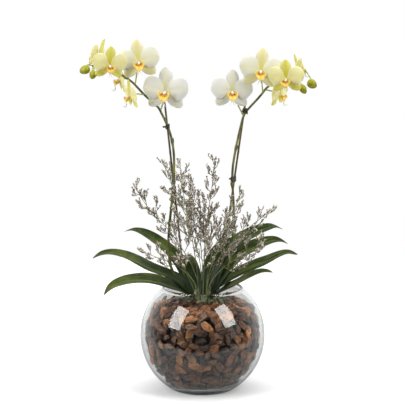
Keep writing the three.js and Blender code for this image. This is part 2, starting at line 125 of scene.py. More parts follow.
class Sheet:
    """A node tree that is being written."""

    def __init__(self, tree: bpy.types.NodeTree) -> None:
        """Start on a tree."""
        self.tree = tree

    def node(self, kind: str, settings: dict | None = None, inputs: dict | None = None) -> bpy.types.Node:
        """Add a node, set it, and then give its sockets their values or links.

        Args:
            kind: the node's type.
            settings: properties of the node; "stops" is a colour ramp's list of (place, colour).
            inputs: socket name or number, to a value, a Value or a socket.

        Returns:
            The node.
        """
        made = self.tree.nodes.new(kind)
        for name, setting in (settings or {}).items():
            if name == "stops":
                self._set_stops(made.color_ramp, setting)
            else:
                setattr(made, name, setting)
        for name, given in (inputs or {}).items():
            socket = made.inputs[name] if isinstance(name, int) else self._named(made.inputs, name)
            if isinstance(given, Value):
                given = given.socket
            if isinstance(given, bpy.types.NodeSocket):
                self.tree.links.new(given, socket)
            else:
                socket.default_value = given
        return made

    def value(self, kind: str, settings: dict | None, inputs: dict | None, output: str | int = 0) -> Value:
        """Add a node and return one of its outputs.

        Args:
            kind: the node's type.
            settings: as for node.
            inputs: as for node.
            output: name or number of the output.

        Returns:
            The output, ready for sums.
        """
        made = self.node(kind, settings, inputs)
        socket = made.outputs[output] if isinstance(output, int) else self._named(made.outputs, output)
        return Value(self, socket)

    def math(self, operation: str, first: Operand, second: Operand) -> Value:
        """A sum of two numbers."""
        return self.value("ShaderNodeMath", {"operation": operation}, {0: first, 1: second})

    @staticmethod
    def _named(sockets: Sequence[bpy.types.NodeSocket], name: str) -> bpy.types.NodeSocket:
        """The socket of a name that the node's settings leave in use."""
        return next(s for s in sockets if s.name == name and s.enabled)

    @staticmethod
    def _set_stops(ramp: bpy.types.ColorRamp, stops: Sequence[tuple[float, Colour]]) -> None:
        """Give a colour ramp its stops.

        Args:
            ramp: the ramp.
            stops: places from 0 to 1, each with its colour.
        """
        while len(ramp.elements) < len(stops):
            ramp.elements.new(0.5)
        for element, (place, colour) in zip(ramp.elements, stops):
            element.position = place
            element.color = (*colour, 1.0)


class Paint(Sheet):
    """A material that is being written."""

    def place(self) -> Value:
        """Object coordinates, in metres in the frame."""
        return self.value("ShaderNodeTexCoord", None, None, "Object")

    def stretched(self, place: Value, scale: tuple[float, float, float]) -> Value:
        """A coordinate with each axis multiplied."""
        return self.value("ShaderNodeVectorMath", {"operation": "MULTIPLY"}, {0: place, 1: scale})

    def surface_map(self) -> tuple[Value, Value]:
        """The two coordinates of the piece's own map: side to side, and base to tip."""
        parts = self.node("ShaderNodeSeparateXYZ", None, {0: self.node("ShaderNodeUVMap").outputs[0]})
        return Value(self, parts.outputs[0]), Value(self, parts.outputs[1])

    def attribute(self, name: str) -> Value:
        """A number that each point of the mesh carries."""
        return self.value("ShaderNodeAttribute", {"attribute_name": name}, None, "Fac")

    def noise(self, place: Value, scale: float, detail: float = 3.0, distortion: float = 0.0) -> Value:
        """Cloudy noise from 0 to 1, with so many clouds to a metre of the place."""
        inputs = {"Vector": place, "Scale": scale, "Detail": detail, "Distortion": distortion}
        return self.value("ShaderNodeTexNoise", None, inputs, "Fac")

    def blend(self, factor: Operand, first: "Shade", second: "Shade") -> Value:
        """A colour between two others.

        Args:
            factor: how far it goes from the first to the second, from 0 to 1.
            first: the colour at 0.
            second: the colour at 1.

        Returns:
            The colour.
        """
        colours = [(*c, 1.0) if isinstance(c, tuple) else c for c in (first, second)]
        inputs = {"Factor": factor, "A": colours[0], "B": colours[1]}
        return self.value("ShaderNodeMix", {"data_type": "RGBA", "clamp_factor": True}, inputs, "Result")

    def ramp(self, value: Value, stops: Sequence[tuple[float, Colour]]) -> Value:
        """A colour read off a row of stops."""
        return self.value("ShaderNodeValToRGB", {"stops": stops}, {0: value})

    def bump(self, height: Value, distance: float, strength: float = 1.0) -> Value:
        """A normal bent by a height from 0 to 1, where 1 is as tall as distance, in metres."""
        inputs = {"Strength": strength, "Distance": distance, "Height": height}
        return self.value("ShaderNodeBump", None, inputs, "Normal")

    def body(self, inputs: dict) -> Value:
        """A Principled surface with these sockets."""
        return self.value("ShaderNodeBsdfPrincipled", None, inputs)

    def finish(self, surface: Value) -> None:
        """Make a surface the material's result."""
        self.node("ShaderNodeOutputMaterial", None, {"Surface": surface})

    def finish_thin(self, body: Value, colour: Colour, share: float) -> None:
        """Finish a thin tissue: the body, with a share that lets light of a colour through."""
        through = self.value("ShaderNodeBsdfTranslucent", None, {"Color": (*colour, 1.0)})
        self.finish(self.value("ShaderNodeMixShader", None, {0: share, 1: body, 2: through}))


Shade = Colour | Value


# ---------------------------------------------------------------- finishes


@dataclass(frozen=True)
class Finish:
    """What a surface is made of. Each kind paints itself."""

    label: str

    def paint(self, paint: Paint) -> None:
        """Write the material's nodes."""
        raise NotImplementedError


@lru_cache(maxsize=None)
def material_of(finish: Finish) -> bpy.types.Material:
    """The material of a finish, made once.

    Args:
        finish: the finish.

    Returns:
        Its material.
    """
    material = bpy.data.materials.new(finish.label)
    material.use_nodes = True
    material.node_tree.nodes.clear()
    finish.paint(Paint(material.node_tree))
    return material


@dataclass(frozen=True)
class PetalFinish(Finish):
    """Pale tissue with fine veins, washed with yellow from the heart and along the middle."""

    pale: Colour = (0.85, 0.855, 0.845)
    warm: Colour = (0.84, 0.79, 0.42)
    stripe: float = 0.2  # strength of the wash along the middle
    base: float = 0.5  # strength of the wash at the heart
    reach: float = 0.45  # how far the wash at the heart goes out

    def paint(self, paint: Paint) -> None:
        """Veins that run from base to tip, over the two washes.

        Args:
            paint: the material to fill.
        """
        side, along = paint.surface_map()
        middle = 1.0 - abs(side - 0.5) * 2.0
        clouds = paint.noise(paint.place(), 120.0)
        wash = middle.band(0.15, 1.0) * self.stripe * (clouds * 0.7 + 0.65)
        wash = wash + along.band(self.reach, 0.0) * self.base
        colour = paint.blend(wash, self.pale, self.warm)
        spread = paint.value("ShaderNodeCombineXYZ", None, {0: side * 30.0, 1: along * 2.2})
        veins = paint.noise(spread, 1.0, 2.0, 0.4)
        colour = paint.blend(veins.band(0.45, 0.75) * 0.3, colour, self.warm)
        normal = paint.bump(veins, 0.4 * MM, 0.6)
        body = paint.body({"Base Color": colour, "Roughness": 0.5, "Normal": normal, "Sheen Weight": 0.1})
        yellow = self.stripe * 0.6 + 0.05
        glow = tuple(p + (w - p) * yellow for p, w in zip(self.pale, self.warm))
        paint.finish_thin(body, glow, 0.4)


@dataclass(frozen=True)
class LipFinish(Finish):
    """Waxy yellow that deepens to orange brown in the throat and pales at its edges."""

    pale: Colour = (0.88, 0.7, 0.36)
    yellow: Colour = (0.92, 0.66, 0.12)
    orange: Colour = (0.85, 0.4, 0.03)
    throat: Colour = (0.5, 0.13, 0.012)

    def paint(self, paint: Paint) -> None:
        """Freckles and streaks that thin out towards the tip.

        Args:
            paint: the material to fill.
        """
        side, along = paint.surface_map()
        spots = paint.noise(paint.place(), 900.0, 2.0)
        edge = abs(side - 0.5) * 2.0
        deep = (1.0 - along) * 0.9 + spots * 0.6 - edge * 0.25
        colour = paint.blend(deep.band(0.45, 0.9), self.yellow, self.orange)
        colour = paint.blend(deep.band(0.85, 1.25) * 0.9, colour, self.throat)
        colour = paint.blend((along * 0.7 + edge * 0.4).band(0.7, 1.05), colour, self.pale)
        normal = paint.bump(spots, 0.3 * MM, 0.4)
        body = paint.body({"Base Color": colour, "Roughness": 0.38, "Normal": normal, "Coat Weight": 0.2})
        paint.finish_thin(body, self.yellow, 0.12)


@dataclass(frozen=True)
class ColumnFinish(Finish):
    """Waxy white, blushed towards the lip."""

    def paint(self, paint: Paint) -> None:
        """A blush that fades along the column.

        Args:
            paint: the material to fill.
        """
        _, along = paint.surface_map()
        clouds = paint.noise(paint.place(), 500.0)
        blush = (clouds * 0.5 + along * 0.4).band(0.35, 0.9)
        colour = paint.blend(blush, (0.84, 0.76, 0.66), (0.7, 0.42, 0.3))
        paint.finish(paint.body({"Base Color": colour, "Roughness": 0.35, "Coat Weight": 0.2}))


@dataclass(frozen=True)
class SkinFinish(Finish):
    """Smooth plant skin mottled between two colours, streaked along Z."""

    light: Colour = (0.5, 0.52, 0.1)
    dark: Colour = (0.2, 0.24, 0.03)
    clouds: float = 120.0  # to the metre
    stretch: float = 0.35  # how long the streaks are drawn, as a share of their width's scale
    balance: float = 0.5  # noise level where dark and light meet
    roughness: float = 0.42
    relief: float = 0.2  # millimetres
    coat: float = 0.1

    def paint(self, paint: Paint) -> None:
        """Streaky clouds in colour, and finer ones in relief.

        Args:
            paint: the material to fill.
        """
        place = paint.stretched(paint.place(), (1.0, 1.0, self.stretch))
        mottle = paint.noise(place, self.clouds, 4.0, 0.5)
        fine = paint.noise(place, self.clouds * 6.0, 3.0)
        mix = (mottle * 0.75 + fine * 0.25).band(self.balance - 0.14, self.balance + 0.14)
        colour = paint.blend(mix, self.dark, self.light)
        normal = paint.bump(fine, self.relief * MM, 0.6)
        inputs = {"Base Color": colour, "Roughness": self.roughness, "Normal": normal}
        paint.finish(paint.body({**inputs, "Coat Weight": self.coat}))


@dataclass(frozen=True)
class BudFinish(Finish):
    """A closed bud: lime green, darker and browner at the tip and along its seams."""

    lime: Colour = (0.34, 0.33, 0.006)
    olive: Colour = (0.15, 0.18, 0.012)

    def paint(self, paint: Paint) -> None:
        """Seams three times round the bud, and a wash towards its tip.

        Args:
            paint: the material to fill.
        """
        side, along = paint.surface_map()
        wave = paint.math("COSINE", side * (6.0 * math.pi), 0.0)
        clouds = paint.noise(paint.place(), 260.0, 3.0)
        deep = wave.band(0.5, 1.0) * 0.45 + along.band(0.55, 1.0) * 0.5 + clouds * 0.3
        colour = paint.blend(deep.band(0.3, 1.0), self.lime, self.olive)
        normal = paint.bump(clouds, 0.3 * MM, 0.4)
        body = paint.body({"Base Color": colour, "Roughness": 0.4, "Normal": normal, "Coat Weight": 0.15})
        paint.finish_thin(body, self.lime, 0.1)


@dataclass(frozen=True)
class LeafFinish(Finish):
    """A strap leaf: deep green with parallel veins, a paler midrib and a dry brown tip."""

    deep: Colour = (0.005, 0.017, 0.002)
    fresh: Colour = (0.15, 0.19, 0.03)
    rib: Colour = (0.16, 0.23, 0.045)
    dry: Colour = (0.09, 0.055, 0.02)
    glow: Colour = (0.07, 0.1, 0.015)

    def paint(self, paint: Paint) -> None:
        """Veins side by side, drawn out along the blade, and painted shade that darkens the blade towards its
        base.

        Args:
            paint: the material to fill.
        """
        side, along = paint.surface_map()
        lanes = paint.value("ShaderNodeCombineXYZ", None, {0: side * 26.0, 1: along * 3.0})
        veins = paint.noise(lanes, 1.0, 3.0, 0.15)
        clouds = paint.noise(paint.place(), 28.0, 3.0)
        fresh_share = veins.band(0.43, 0.7) * 0.6 + clouds.band(0.42, 0.7) * 0.4
        # Painted shade: the blade goes darker towards its base.
        fresh_share = fresh_share * (along.band(0.05, 0.6) * 0.9 + 0.1)
        colour = paint.blend(fresh_share, self.deep, self.fresh)
        rib = abs(side - 0.5).band(0.05, 0.012)
        colour = paint.blend(rib * 0.55, colour, self.rib)
        colour = paint.blend((along + clouds * 0.06).band(0.965, 1.02), colour, self.dry)
        normal = paint.bump(veins, 0.35 * MM, 0.7)
        inputs = {"Base Color": colour, "Roughness": 0.42, "Normal": normal, "Specular IOR Level": 0.35}
        paint.finish_thin(paint.body(inputs), self.glow, 0.1)


@dataclass(frozen=True)
class BarkFinish(Finish):
    """Broken pine bark: dark outside, fox red where it has split."""

    # painted shade: the near-black that bark takes where it lies deep in the bed
    painted_shade: Colour = (0.004, 0.002, 0.0015)
    stops: tuple[tuple[float, Colour], ...] = (
        (0.12, (0.014, 0.006, 0.004)),
        (0.34, (0.055, 0.02, 0.009)),
        (0.54, (0.19, 0.07, 0.026)),
        (0.72, (0.42, 0.165, 0.045)),
        (0.94, (0.88, 0.44, 0.16)),
    )

    def paint(self, paint: Paint) -> None:
        """A tone for each piece, with split layers and pores over it, and painted shade where it lies deep.

        Args:
            paint: the material to fill.
        """
        tone = paint.attribute("tone")
        place = paint.place()
        layers = paint.noise(paint.stretched(place, (1.0, 1.0, 2.5)), 170.0, 5.0, 1.2)
        pores = paint.noise(place, 700.0, 3.0)
        mix = tone * 0.5 + layers * 0.95 + pores * 0.3 - 0.44
        # Painted shade: the deeper a point lies under the top or the glass, the nearer its colour goes to
        # near-black.
        bare = paint.attribute("bare")
        colour = paint.blend(bare.band(0.2, 0.88), self.painted_shade, paint.ramp(mix, self.stops))
        relief = layers * 0.75 + pores * 0.25
        roughness = relief.band(0.2, 0.8) * 0.3 + 0.3
        normal = paint.bump(relief, 1.6 * MM, 0.8)
        inputs = {"Base Color": colour, "Roughness": roughness, "Normal": normal, "Specular IOR Level": 0.45}
        paint.finish(paint.body(inputs))


@dataclass(frozen=True)
class FloretFinish(Finish):
    """Dry papery flowers, lavender grey at the mouth and greener at the foot."""

    foot: Colour = (0.16, 0.19, 0.06)
    glow: Colour = (0.4, 0.35, 0.28)
    stops: tuple[tuple[float, Colour], ...] = (
        (0.0, (0.22, 0.17, 0.14)),
        (0.5, (0.46, 0.385, 0.36)),
        (1.0, (0.84, 0.79, 0.6)),
    )

    def paint(self, paint: Paint) -> None:
        """A tone for each flower, and a wash from its foot to its mouth.

        Args:
            paint: the material to fill.
        """
        tone = paint.attribute("tone")
        height = paint.attribute("mouth")
        colour = paint.blend(height.band(0.0, 0.6), self.foot, paint.ramp(tone, self.stops))
        body = paint.body({"Base Color": colour, "Roughness": 0.7})
        paint.finish_thin(body, self.glow, 0.25)


@dataclass(frozen=True)
class GlassFinish(Finish):
    """Clear glass with the faintest green."""

    def paint(self, paint: Paint) -> None:
        """Refract the view, and let the light that casts shadows straight through.

        Args:
            paint: the material to fill.
        """
        glass = {"Base Color": (0.96, 0.985, 0.975, 1.0), "Roughness": 0.0, "IOR": 1.42}
        body = paint.body({**glass, "Transmission Weight": 1.0})
        clear = paint.value("ShaderNodeBsdfTransparent", None, {"Color": (0.93, 0.95, 0.94, 1.0)})
        shadow = paint.value("ShaderNodeLightPath", None, None, "Is Shadow Ray")
        paint.finish(paint.value("ShaderNodeMixShader", None, {0: shadow, 1: body, 2: clear}))


@dataclass(frozen=True)
class FloorFinish(Finish):
    """A plain white table that glows a little where it is far from the bowl."""

    def paint(self, paint: Paint) -> None:
        """White with a trace of cloud, and darker where it is mirrored in the glass.

        Args:
            paint: the material to fill.
        """
        clouds = paint.noise(paint.place(), 6.0)
        colour = paint.blend(clouds * 0.15, (0.93, 0.93, 0.93), (0.9, 0.9, 0.9))
        away = paint.value("ShaderNodeVectorMath", {"operation": "LENGTH"}, {0: paint.place()}, "Value")
        glow = paint.blend(away.band(0.12, 0.5), (0.0, 0.0, 0.0), (1.0, 1.0, 1.0))
        inputs = {"Base Color": colour, "Roughness": 0.6, "Emission Color": glow, "Emission Strength": 0.4}
        body = paint.body(inputs)
        black = paint.value("ShaderNodeBsdfDiffuse", None, {"Color": (0.0, 0.0, 0.0, 1.0)})
        mirrored = paint.value("ShaderNodeLightPath", None, None, "Is Glossy Ray")
        paint.finish(paint.value("ShaderNodeMixShader", None, {0: mirrored * 0.55, 1: body, 2: black}))


WHITE_PETAL = PetalFinish("petal_white")
WHITE_SEPAL = PetalFinish("sepal_white", stripe=0.35, base=0.95, reach=0.6)
CREAM_PETAL = PetalFinish("petal_cream", pale=(0.86, 0.865, 0.8), warm=(0.84, 0.79, 0.3), stripe=0.25)
CREAM_SEPAL = PetalFinish("sepal_cream", pale=(0.91, 0.89, 0.74), warm=(0.84, 0.77, 0.26), stripe=0.7,
                          base=0.8, reach=0.6)
YELLOW_PETAL = PetalFinish("petal_yellow", pale=(0.94, 0.91, 0.6), warm=(0.86, 0.8, 0.24), stripe=0.3)
GREEN_SEPAL = PetalFinish("sepal_green", pale=(0.92, 0.88, 0.36), warm=(0.78, 0.74, 0.08), stripe=0.8,
                          base=0.7, reach=0.6)
# A stem opens from its lowest flower up, and a flower is yellower the younger it is: petals, then sepals.
FLOWER_FINISHES = {
    1: (WHITE_PETAL, WHITE_SEPAL),
    2: (CREAM_PETAL, CREAM_SEPAL),
    3: (YELLOW_PETAL, GREEN_SEPAL),
}
LIP = LipFinish("lip_yellow")
COLUMN = ColumnFinish("column_white")
BUD = BudFinish("bud_lime")
LEAF = LeafFinish("leaf_green")
STEM = SkinFinish("stem_green", light=(0.2, 0.21, 0.05), dark=(0.05, 0.05, 0.015), clouds=150.0, balance=0.52)
STALK = SkinFinish("stalk_green", light=(0.5, 0.54, 0.16), dark=(0.26, 0.3, 0.06), clouds=200.0, coat=0.05)
TENDRIL = SkinFinish("tendril_grey", light=(0.72, 0.7, 0.66), dark=(0.42, 0.4, 0.36), clouds=400.0)
ROOT = SkinFinish("root_grey", light=(0.36, 0.38, 0.22), dark=(0.09, 0.11, 0.05), clouds=160.0, relief=0.5,
                  roughness=0.6, coat=0.0)
CANE = SkinFinish("cane_brown", light=(0.17, 0.13, 0.06), dark=(0.05, 0.035, 0.015), clouds=260.0,
                  stretch=0.06, roughness=0.5)
WIRE = SkinFinish("tie_dark", light=(0.06, 0.05, 0.03), dark=(0.012, 0.01, 0.008), clouds=400.0,
                  roughness=0.55)
TWIG = SkinFinish("sprig_green", light=(0.22, 0.25, 0.1), dark=(0.07, 0.09, 0.03), clouds=300.0,
                  roughness=0.7)
BARK = BarkFinish("bark_brown")
FLORET = FloretFinish("floret_lavender")
GLASS = GlassFinish("glass_clear")
FLOOR = FloorFinish("floor_white")


# ---------------------------------------------------------------- meshes


def points_of(mesh: bpy.types.Mesh) -> np.ndarray:
    """The points of a mesh, one to a row.

    Args:
        mesh: the mesh.

    Returns:
        The points.
    """
    points = np.empty(len(mesh.vertices) * 3)
    mesh.vertices.foreach_get("co", points)
    return points.reshape(-1, 3)


def corner_numbers(mesh: bpy.types.Mesh) -> np.ndarray:
    """The number of the point at each corner of each face.

    Args:
        mesh: the mesh.

    Returns:
        The numbers, face after face.
    """
    numbers = np.empty(len(mesh.loops), dtype=np.int64)
    mesh.loops.foreach_get("vertex_index", numbers)
    return numbers


@dataclass
class Shape:
    """Points, faces and a surface map, gathered into one mesh."""

    points: list[np.ndarray] = field(default_factory=list)
    faces: list[list[int]] = field(default_factory=list)
    uvs: list[np.ndarray] = field(default_factory=list)
    count: int = 0

    def add(self, points: np.ndarray, faces: Sequence[Sequence[int]], uvs: np.ndarray) -> None:
        """Add a closed body.

        Args:
            points: its points, one to a row.
            faces: its faces, by number from its own first point.
            uvs: two map coordinates for each point.
        """
        self.faces.extend([corner + self.count for corner in face] for face in faces)
        self.points.append(points)
        self.uvs.append(uvs)
        self.count += len(points)

    def make(self, name: str, finish: Finish) -> bpy.types.Object:
        """Turn what was gathered into an object with smooth faces that point outwards.

        Args:
            name: the object's name.
            finish: its finish.

        Returns:
            The object.
        """
        mesh = bpy.data.meshes.new(name)
        mesh.from_pydata(np.concatenate(self.points).tolist(), [], self.faces)
        layer = mesh.uv_layers.new(name="surface")
        uvs = np.concatenate(self.uvs)[corner_numbers(mesh)]
        layer.data.foreach_set("uv", uvs.astype(np.float32).ravel())
        point_outwards(mesh)
        mesh.materials.append(material_of(finish))
        return link(bpy.data.objects.new(name, mesh))


def link(piece: bpy.types.Object) -> bpy.types.Object:
    """Put an object into the scene."""
    bpy.context.scene.collection.objects.link(piece)
    return piece


def point_outwards(mesh: bpy.types.Mesh) -> None:
    """Turn every face of a closed mesh outwards, and smooth it.

    Args:
        mesh: the mesh.
    """
    work = bmesh.new()
    work.from_mesh(mesh)
    bmesh.ops.recalc_face_normals(work, faces=work.faces)
    work.to_mesh(mesh)
    work.free()
    mesh.shade_smooth()


def stand_for(piece: bpy.types.Object, slot: str, *nodes: str) -> bpy.types.Object:
    """Tie a finished piece to the frame and say what it is.

    Args:
        piece: the piece.
        slot: not used.
        nodes: the CAD nodes that it stands for.

    Returns:
        The piece.
    """
    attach(piece, BODY)
    if nodes:
        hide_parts(*nodes)
    LOG.info("%s: %d faces, for %s", piece.name, len(piece.data.polygons), ", ".join(nodes) or "no node")
    return piece


def unit(vectors: np.ndarray) -> np.ndarray:
    """Vectors of length 1."""
    return vectors / np.maximum(np.linalg.norm(vectors, axis=-1, keepdims=True), 1e-12)


def tangents(line: np.ndarray) -> np.ndarray:
    """Directions along a line of points."""
    return unit(np.gradient(line, axis=0))


def sampled(line: np.ndarray, shares: np.ndarray | int) -> np.ndarray:
    """Points along a line, at shares of its length.

    Args:
        line: points, or points with more columns that go along with them.
        shares: the shares, or how many even steps to take.

    Returns:
        The points, with all their columns.
    """
    if isinstance(shares, int):
        shares = np.linspace(0.0, 1.0, shares)
    steps = np.linalg.norm(np.diff(line[:, :3], axis=0), axis=1)
    lengths = np.concatenate(([0.0], np.cumsum(steps)))
    return np.stack([np.interp(shares * lengths[-1], lengths, column) for column in line.T], axis=1)


def mm(points: Sequence) -> np.ndarray:
    """Lengths or points given in millimetres, in metres."""
    return np.array(points) * MM


def length_of(line: np.ndarray) -> float:
    """How long a line of points is."""
    return np.linalg.norm(np.diff(line, axis=0), axis=1).sum()


def round_about(sides: int) -> np.ndarray:
    """Angles in even steps round a circle."""
    return np.linspace(0.0, math.tau, sides, endpoint=False)


def grid_map(across: np.ndarray, along: np.ndarray) -> np.ndarray:
    """Map coordinates of a grid of points, row by row."""
    return np.stack(np.broadcast_arrays(across[None, :], along[:, None]), axis=2).reshape(-1, 2)


def bands(rings: int, sides: int, first: int = 0) -> list[list[int]]:
    """Faces that join each ring of points to the next.

    Args:
        rings: how many rings there are.
        sides: how many points each ring has.
        first: number of the first ring's first point.

    Returns:
        The faces.
    """
    faces = []
    for i in range(rings - 1):
        for j in range(sides):
            a, b = first + i * sides + j, first + i * sides + (j + 1) % sides
            faces.append([a, b, b + sides, a + sides])
    return faces


def close_at_ends(count: int) -> np.ndarray:
    """Shares from 0 to 1 that lie closer together towards both ends, where an outline turns fastest."""
    return 0.5 - 0.5 * np.cos(np.linspace(0.0, math.pi, count))


def smoothed(line: np.ndarray, times: int) -> np.ndarray:
    """A line with its kinks eased and its ends kept.

    Args:
        line: its points.
        times: how often it is eased.

    Returns:
        The eased points.
    """
    for _ in range(times):
        inner = (line[:-2] + 2.0 * line[1:-1] + line[2:]) / 4.0
        line = np.concatenate((line[:1], inner, line[-1:]))
    return line


def curve_through(points: Sequence[Sequence[float]], shares: np.ndarray | int) -> np.ndarray:
    """A smooth line through a few points.

    Args:
        points: the points.
        shares: shares of the length, or how many even steps to take.

    Returns:
        Points along the line.
    """
    line = np.array(points, dtype=float)
    padded = np.concatenate((2 * line[:1] - line[1:2], line, 2 * line[-1:] - line[-2:-1]))
    pieces = []
    for p0, p1, p2, p3 in zip(padded, padded[1:], padded[2:], padded[3:]):
        t = np.linspace(0.0, 1.0, 12, endpoint=False)[:, None]
        bend = (2 * p0 - 5 * p1 + 4 * p2 - p3) * t**2 + (3 * p1 - p0 - 3 * p2 + p3) * t**3
        pieces.append(0.5 * (2 * p1 + (p2 - p0) * t + bend))
    return sampled(np.concatenate((*pieces, line[-1:])), shares)


@dataclass(frozen=True)
class Outline:
    """How wide a petal is from its base to its tip."""

    widest: float  # the largest half width
    belly: float = 0.55  # share of the length where it is widest
    blunt: float = 0.52  # 0.5 for round ends, and more for pointed ones
    claw: float = 0.0  # how long a share of the base is drawn in to a narrow claw
    rows: int = 30

    def half(self, shares: np.ndarray) -> np.ndarray:
        """Half widths at shares of the length.

        Args:
            shares: from 0 at the base to 1 at the tip.

        Returns:
            A half width for each.
        """
        power = math.log(0.5) / math.log(self.belly)
        width = self.widest * np.sin(math.pi * np.clip(shares, 0.0, 1.0) ** power).clip(0.0) ** self.blunt
        if self.claw > 0.0:
            width = width * (1.0 - 0.7 * np.exp(-((shares / self.claw) ** 2)))
        return np.maximum(width, 0.25 * MM)


@dataclass
class Blade:
    """A leaf, sepal or petal: a thin body about a middle line."""

    spine: np.ndarray  # points from base to tip
    across: np.ndarray  # unit vectors towards one edge
    up: np.ndarray  # unit vectors out of the upper face
    half: np.ndarray  # half widths
    shares: np.ndarray  # how far along each point of the spine is
    thickness: float
    lift: Callable[[np.ndarray, np.ndarray, np.ndarray], np.ndarray]  # of side, share and half width
    columns: int = 12

    @classmethod
    def along(
        cls, points: Sequence[Sequence[float]], face: np.ndarray, outline: Outline, **rest: object
    ) -> "Blade":
        """A blade on a line through a few points.

        Args:
            points: the points, from base to tip.
            face: the way the upper face looks.
            outline: its half widths.
            rest: the other fields.

        Returns:
            The blade.
        """
        shares = close_at_ends(outline.rows)
        spine = curve_through(points, shares)
        along = tangents(spine)
        across = unit(np.cross(along, face))
        return cls(spine, across, np.cross(across, along), outline.half(shares), shares, **rest)

    def into(self, shape: Shape) -> None:
        """Add the blade to a shape as a closed body, thinner towards its edges.

        Args:
            shape: the shape that takes it.
        """
        rows, columns = len(self.spine), self.columns + 1
        side = np.linspace(-1.0, 1.0, columns)[None, :]
        share = self.shares[:, None]
        half = self.half[:, None]
        height = self.lift(side, share, half)
        middle = self.spine[:, None] + self.across[:, None] * (side * half)[..., None]
        middle = middle + self.up[:, None] * height[..., None]
        normal = unit(np.cross(np.gradient(middle, axis=1), np.gradient(middle, axis=0)))
        wall = self.thickness * (1.0 - 0.75 * side**4) * (1.0 - 0.7 * share**6) / 2.0
        layers = [middle + normal * wall[..., None], middle - normal * wall[..., None]]
        points = np.concatenate([layer.reshape(-1, 3) for layer in layers])
        uv = grid_map((side[0] + 1.0) / 2.0, self.shares)
        shape.add(points, closed_grid(rows, columns), np.concatenate((uv, uv)))


@lru_cache(maxsize=None)
def closed_grid(rows: int, columns: int) -> list[list[int]]:
    """Faces of two layers of a grid and the rim between them.

    Args:
        rows: points one way.
        columns: points the other way.

    Returns:
        The faces.
    """
    under = rows * columns
    faces = []
    for i in range(rows - 1):
        for j in range(columns - 1):
            a = i * columns + j
            quad = [a, a + 1, a + columns + 1, a + columns]
            faces += [quad, [under + corner for corner in reversed(quad)]]
    rim = [*range(columns), *(i * columns + columns - 1 for i in range(1, rows))]
    rim += [*range(under - 2, under - columns - 1, -1), *(i * columns for i in range(rows - 2, 0, -1))]
    for a, b in zip(rim, rim[1:] + rim[:1]):
        faces.append([b, a, under + a, under + b])
    return faces


def lathe_into(shape: Shape, profile: np.ndarray, sides: int) -> None:
    """Turn a profile about Z into a closed body.

    Args:
        shape: the shape that takes it.
        profile: radius and height pairs that start and end on the axis.
        sides: how many steps round.
    """
    turn = round_about(sides)
    inner = profile[1:-1]
    rings = np.stack(
        (inner[:, :1] * np.cos(turn), inner[:, :1] * np.sin(turn), np.repeat(inner[:, 1:], sides, 1)), axis=2
    )
    ends = np.array([(0.0, 0.0, profile[0, 1]), (0.0, 0.0, profile[-1, 1])])
    points = np.concatenate((rings.reshape(-1, 3), ends))
    first, last = len(points) - 2, len(points) - 1
    faces = bands(len(inner), sides)
    top = (len(inner) - 1) * sides
    for j in range(sides):
        k = (j + 1) % sides
        faces += [[first, k, j], [last, top + j, top + k]]
    shares = np.linspace(0.0, 1.0, len(inner))
    uv = grid_map(turn / math.tau, shares)
    shape.add(points, faces, np.concatenate((uv, ((0.5, 0.0), (0.5, 1.0)))))


# ---------------------------------------------------------------- growing by rule


class Recipe(Sheet):
    """A Geometry Nodes tree that is being written, with named inputs."""

    def __init__(self, name: str) -> None:
        """Start a tree that takes and gives geometry.

        Args:
            name: the tree's name.
        """
        super().__init__(bpy.data.node_groups.new(name, "GeometryNodeTree"))
        self.tree.interface.new_socket("Geometry", in_out="INPUT", socket_type="NodeSocketGeometry")
        self.tree.interface.new_socket("Geometry", in_out="OUTPUT", socket_type="NodeSocketGeometry")
        self.start = self.tree.nodes.new("NodeGroupInput")

    def given(self, name: str, kind: str) -> Value:
        """Add a named input of a kind, such as Float, and return it."""
        self.tree.interface.new_socket(name, in_out="INPUT", socket_type="NodeSocket" + kind)
        return Value(self, self.start.outputs[name])

    def attribute(self, name: str, data_type: str = "FLOAT") -> Value:
        """What each point carries under a name."""
        return self.value("GeometryNodeInputNamedAttribute", {"data_type": data_type}, {"Name": name})

    def chance(self, low: Operand, high: Operand, seed: Operand, data_type: str = "FLOAT") -> Value:
        """A random number between low and high for each element, of type FLOAT or INT."""
        inputs = {"Min": low, "Max": high, "Seed": seed}
        return self.value("FunctionNodeRandomValue", {"data_type": data_type}, inputs, "Value")

    def turned(self, rotation: Value, axis: tuple[float, float, float], angle: Operand) -> Value:
        """A rotation followed, in its own frame, by a turn about an axis.

        Args:
            rotation: the first rotation.
            axis: the axis of the turn.
            angle: how far it turns.

        Returns:
            Both in one.
        """
        turn = self.value("FunctionNodeAxisAngleToRotation", None, {"Axis": axis, "Angle": angle})
        settings = {"rotation_space": "LOCAL"}
        return self.value("FunctionNodeRotateRotation", settings, {"Rotation": rotation, "Rotate By": turn})

    def toned(self, placed: Value, seed: Operand) -> Value:
        """Give each instance a tone of its own, from 0 to 1."""
        inputs = {"Geometry": placed, "Name": "tone", "Value": self.chance(0.0, 1.0, seed)}
        return self.value("GeometryNodeStoreNamedAttribute", {"domain": "INSTANCE"}, inputs)

    def result(self, geometry: Value, material: Value, smooth: bool = True) -> None:
        """End the tree with real geometry in one material, smooth or with sharp edges.

        Args:
            geometry: what the tree has made.
            material: the finish.
            smooth: whether faces are shaded smooth.
        """
        real = self.value("GeometryNodeRealizeInstances", None, {0: geometry})
        shaded = self.value("GeometryNodeSetShadeSmooth", None, {"Geometry": real, "Shade Smooth": smooth})
        dressed = self.value("GeometryNodeSetMaterial", None, {"Geometry": shaded, "Material": material})
        self.node("NodeGroupOutput", None, {"Geometry": dressed})


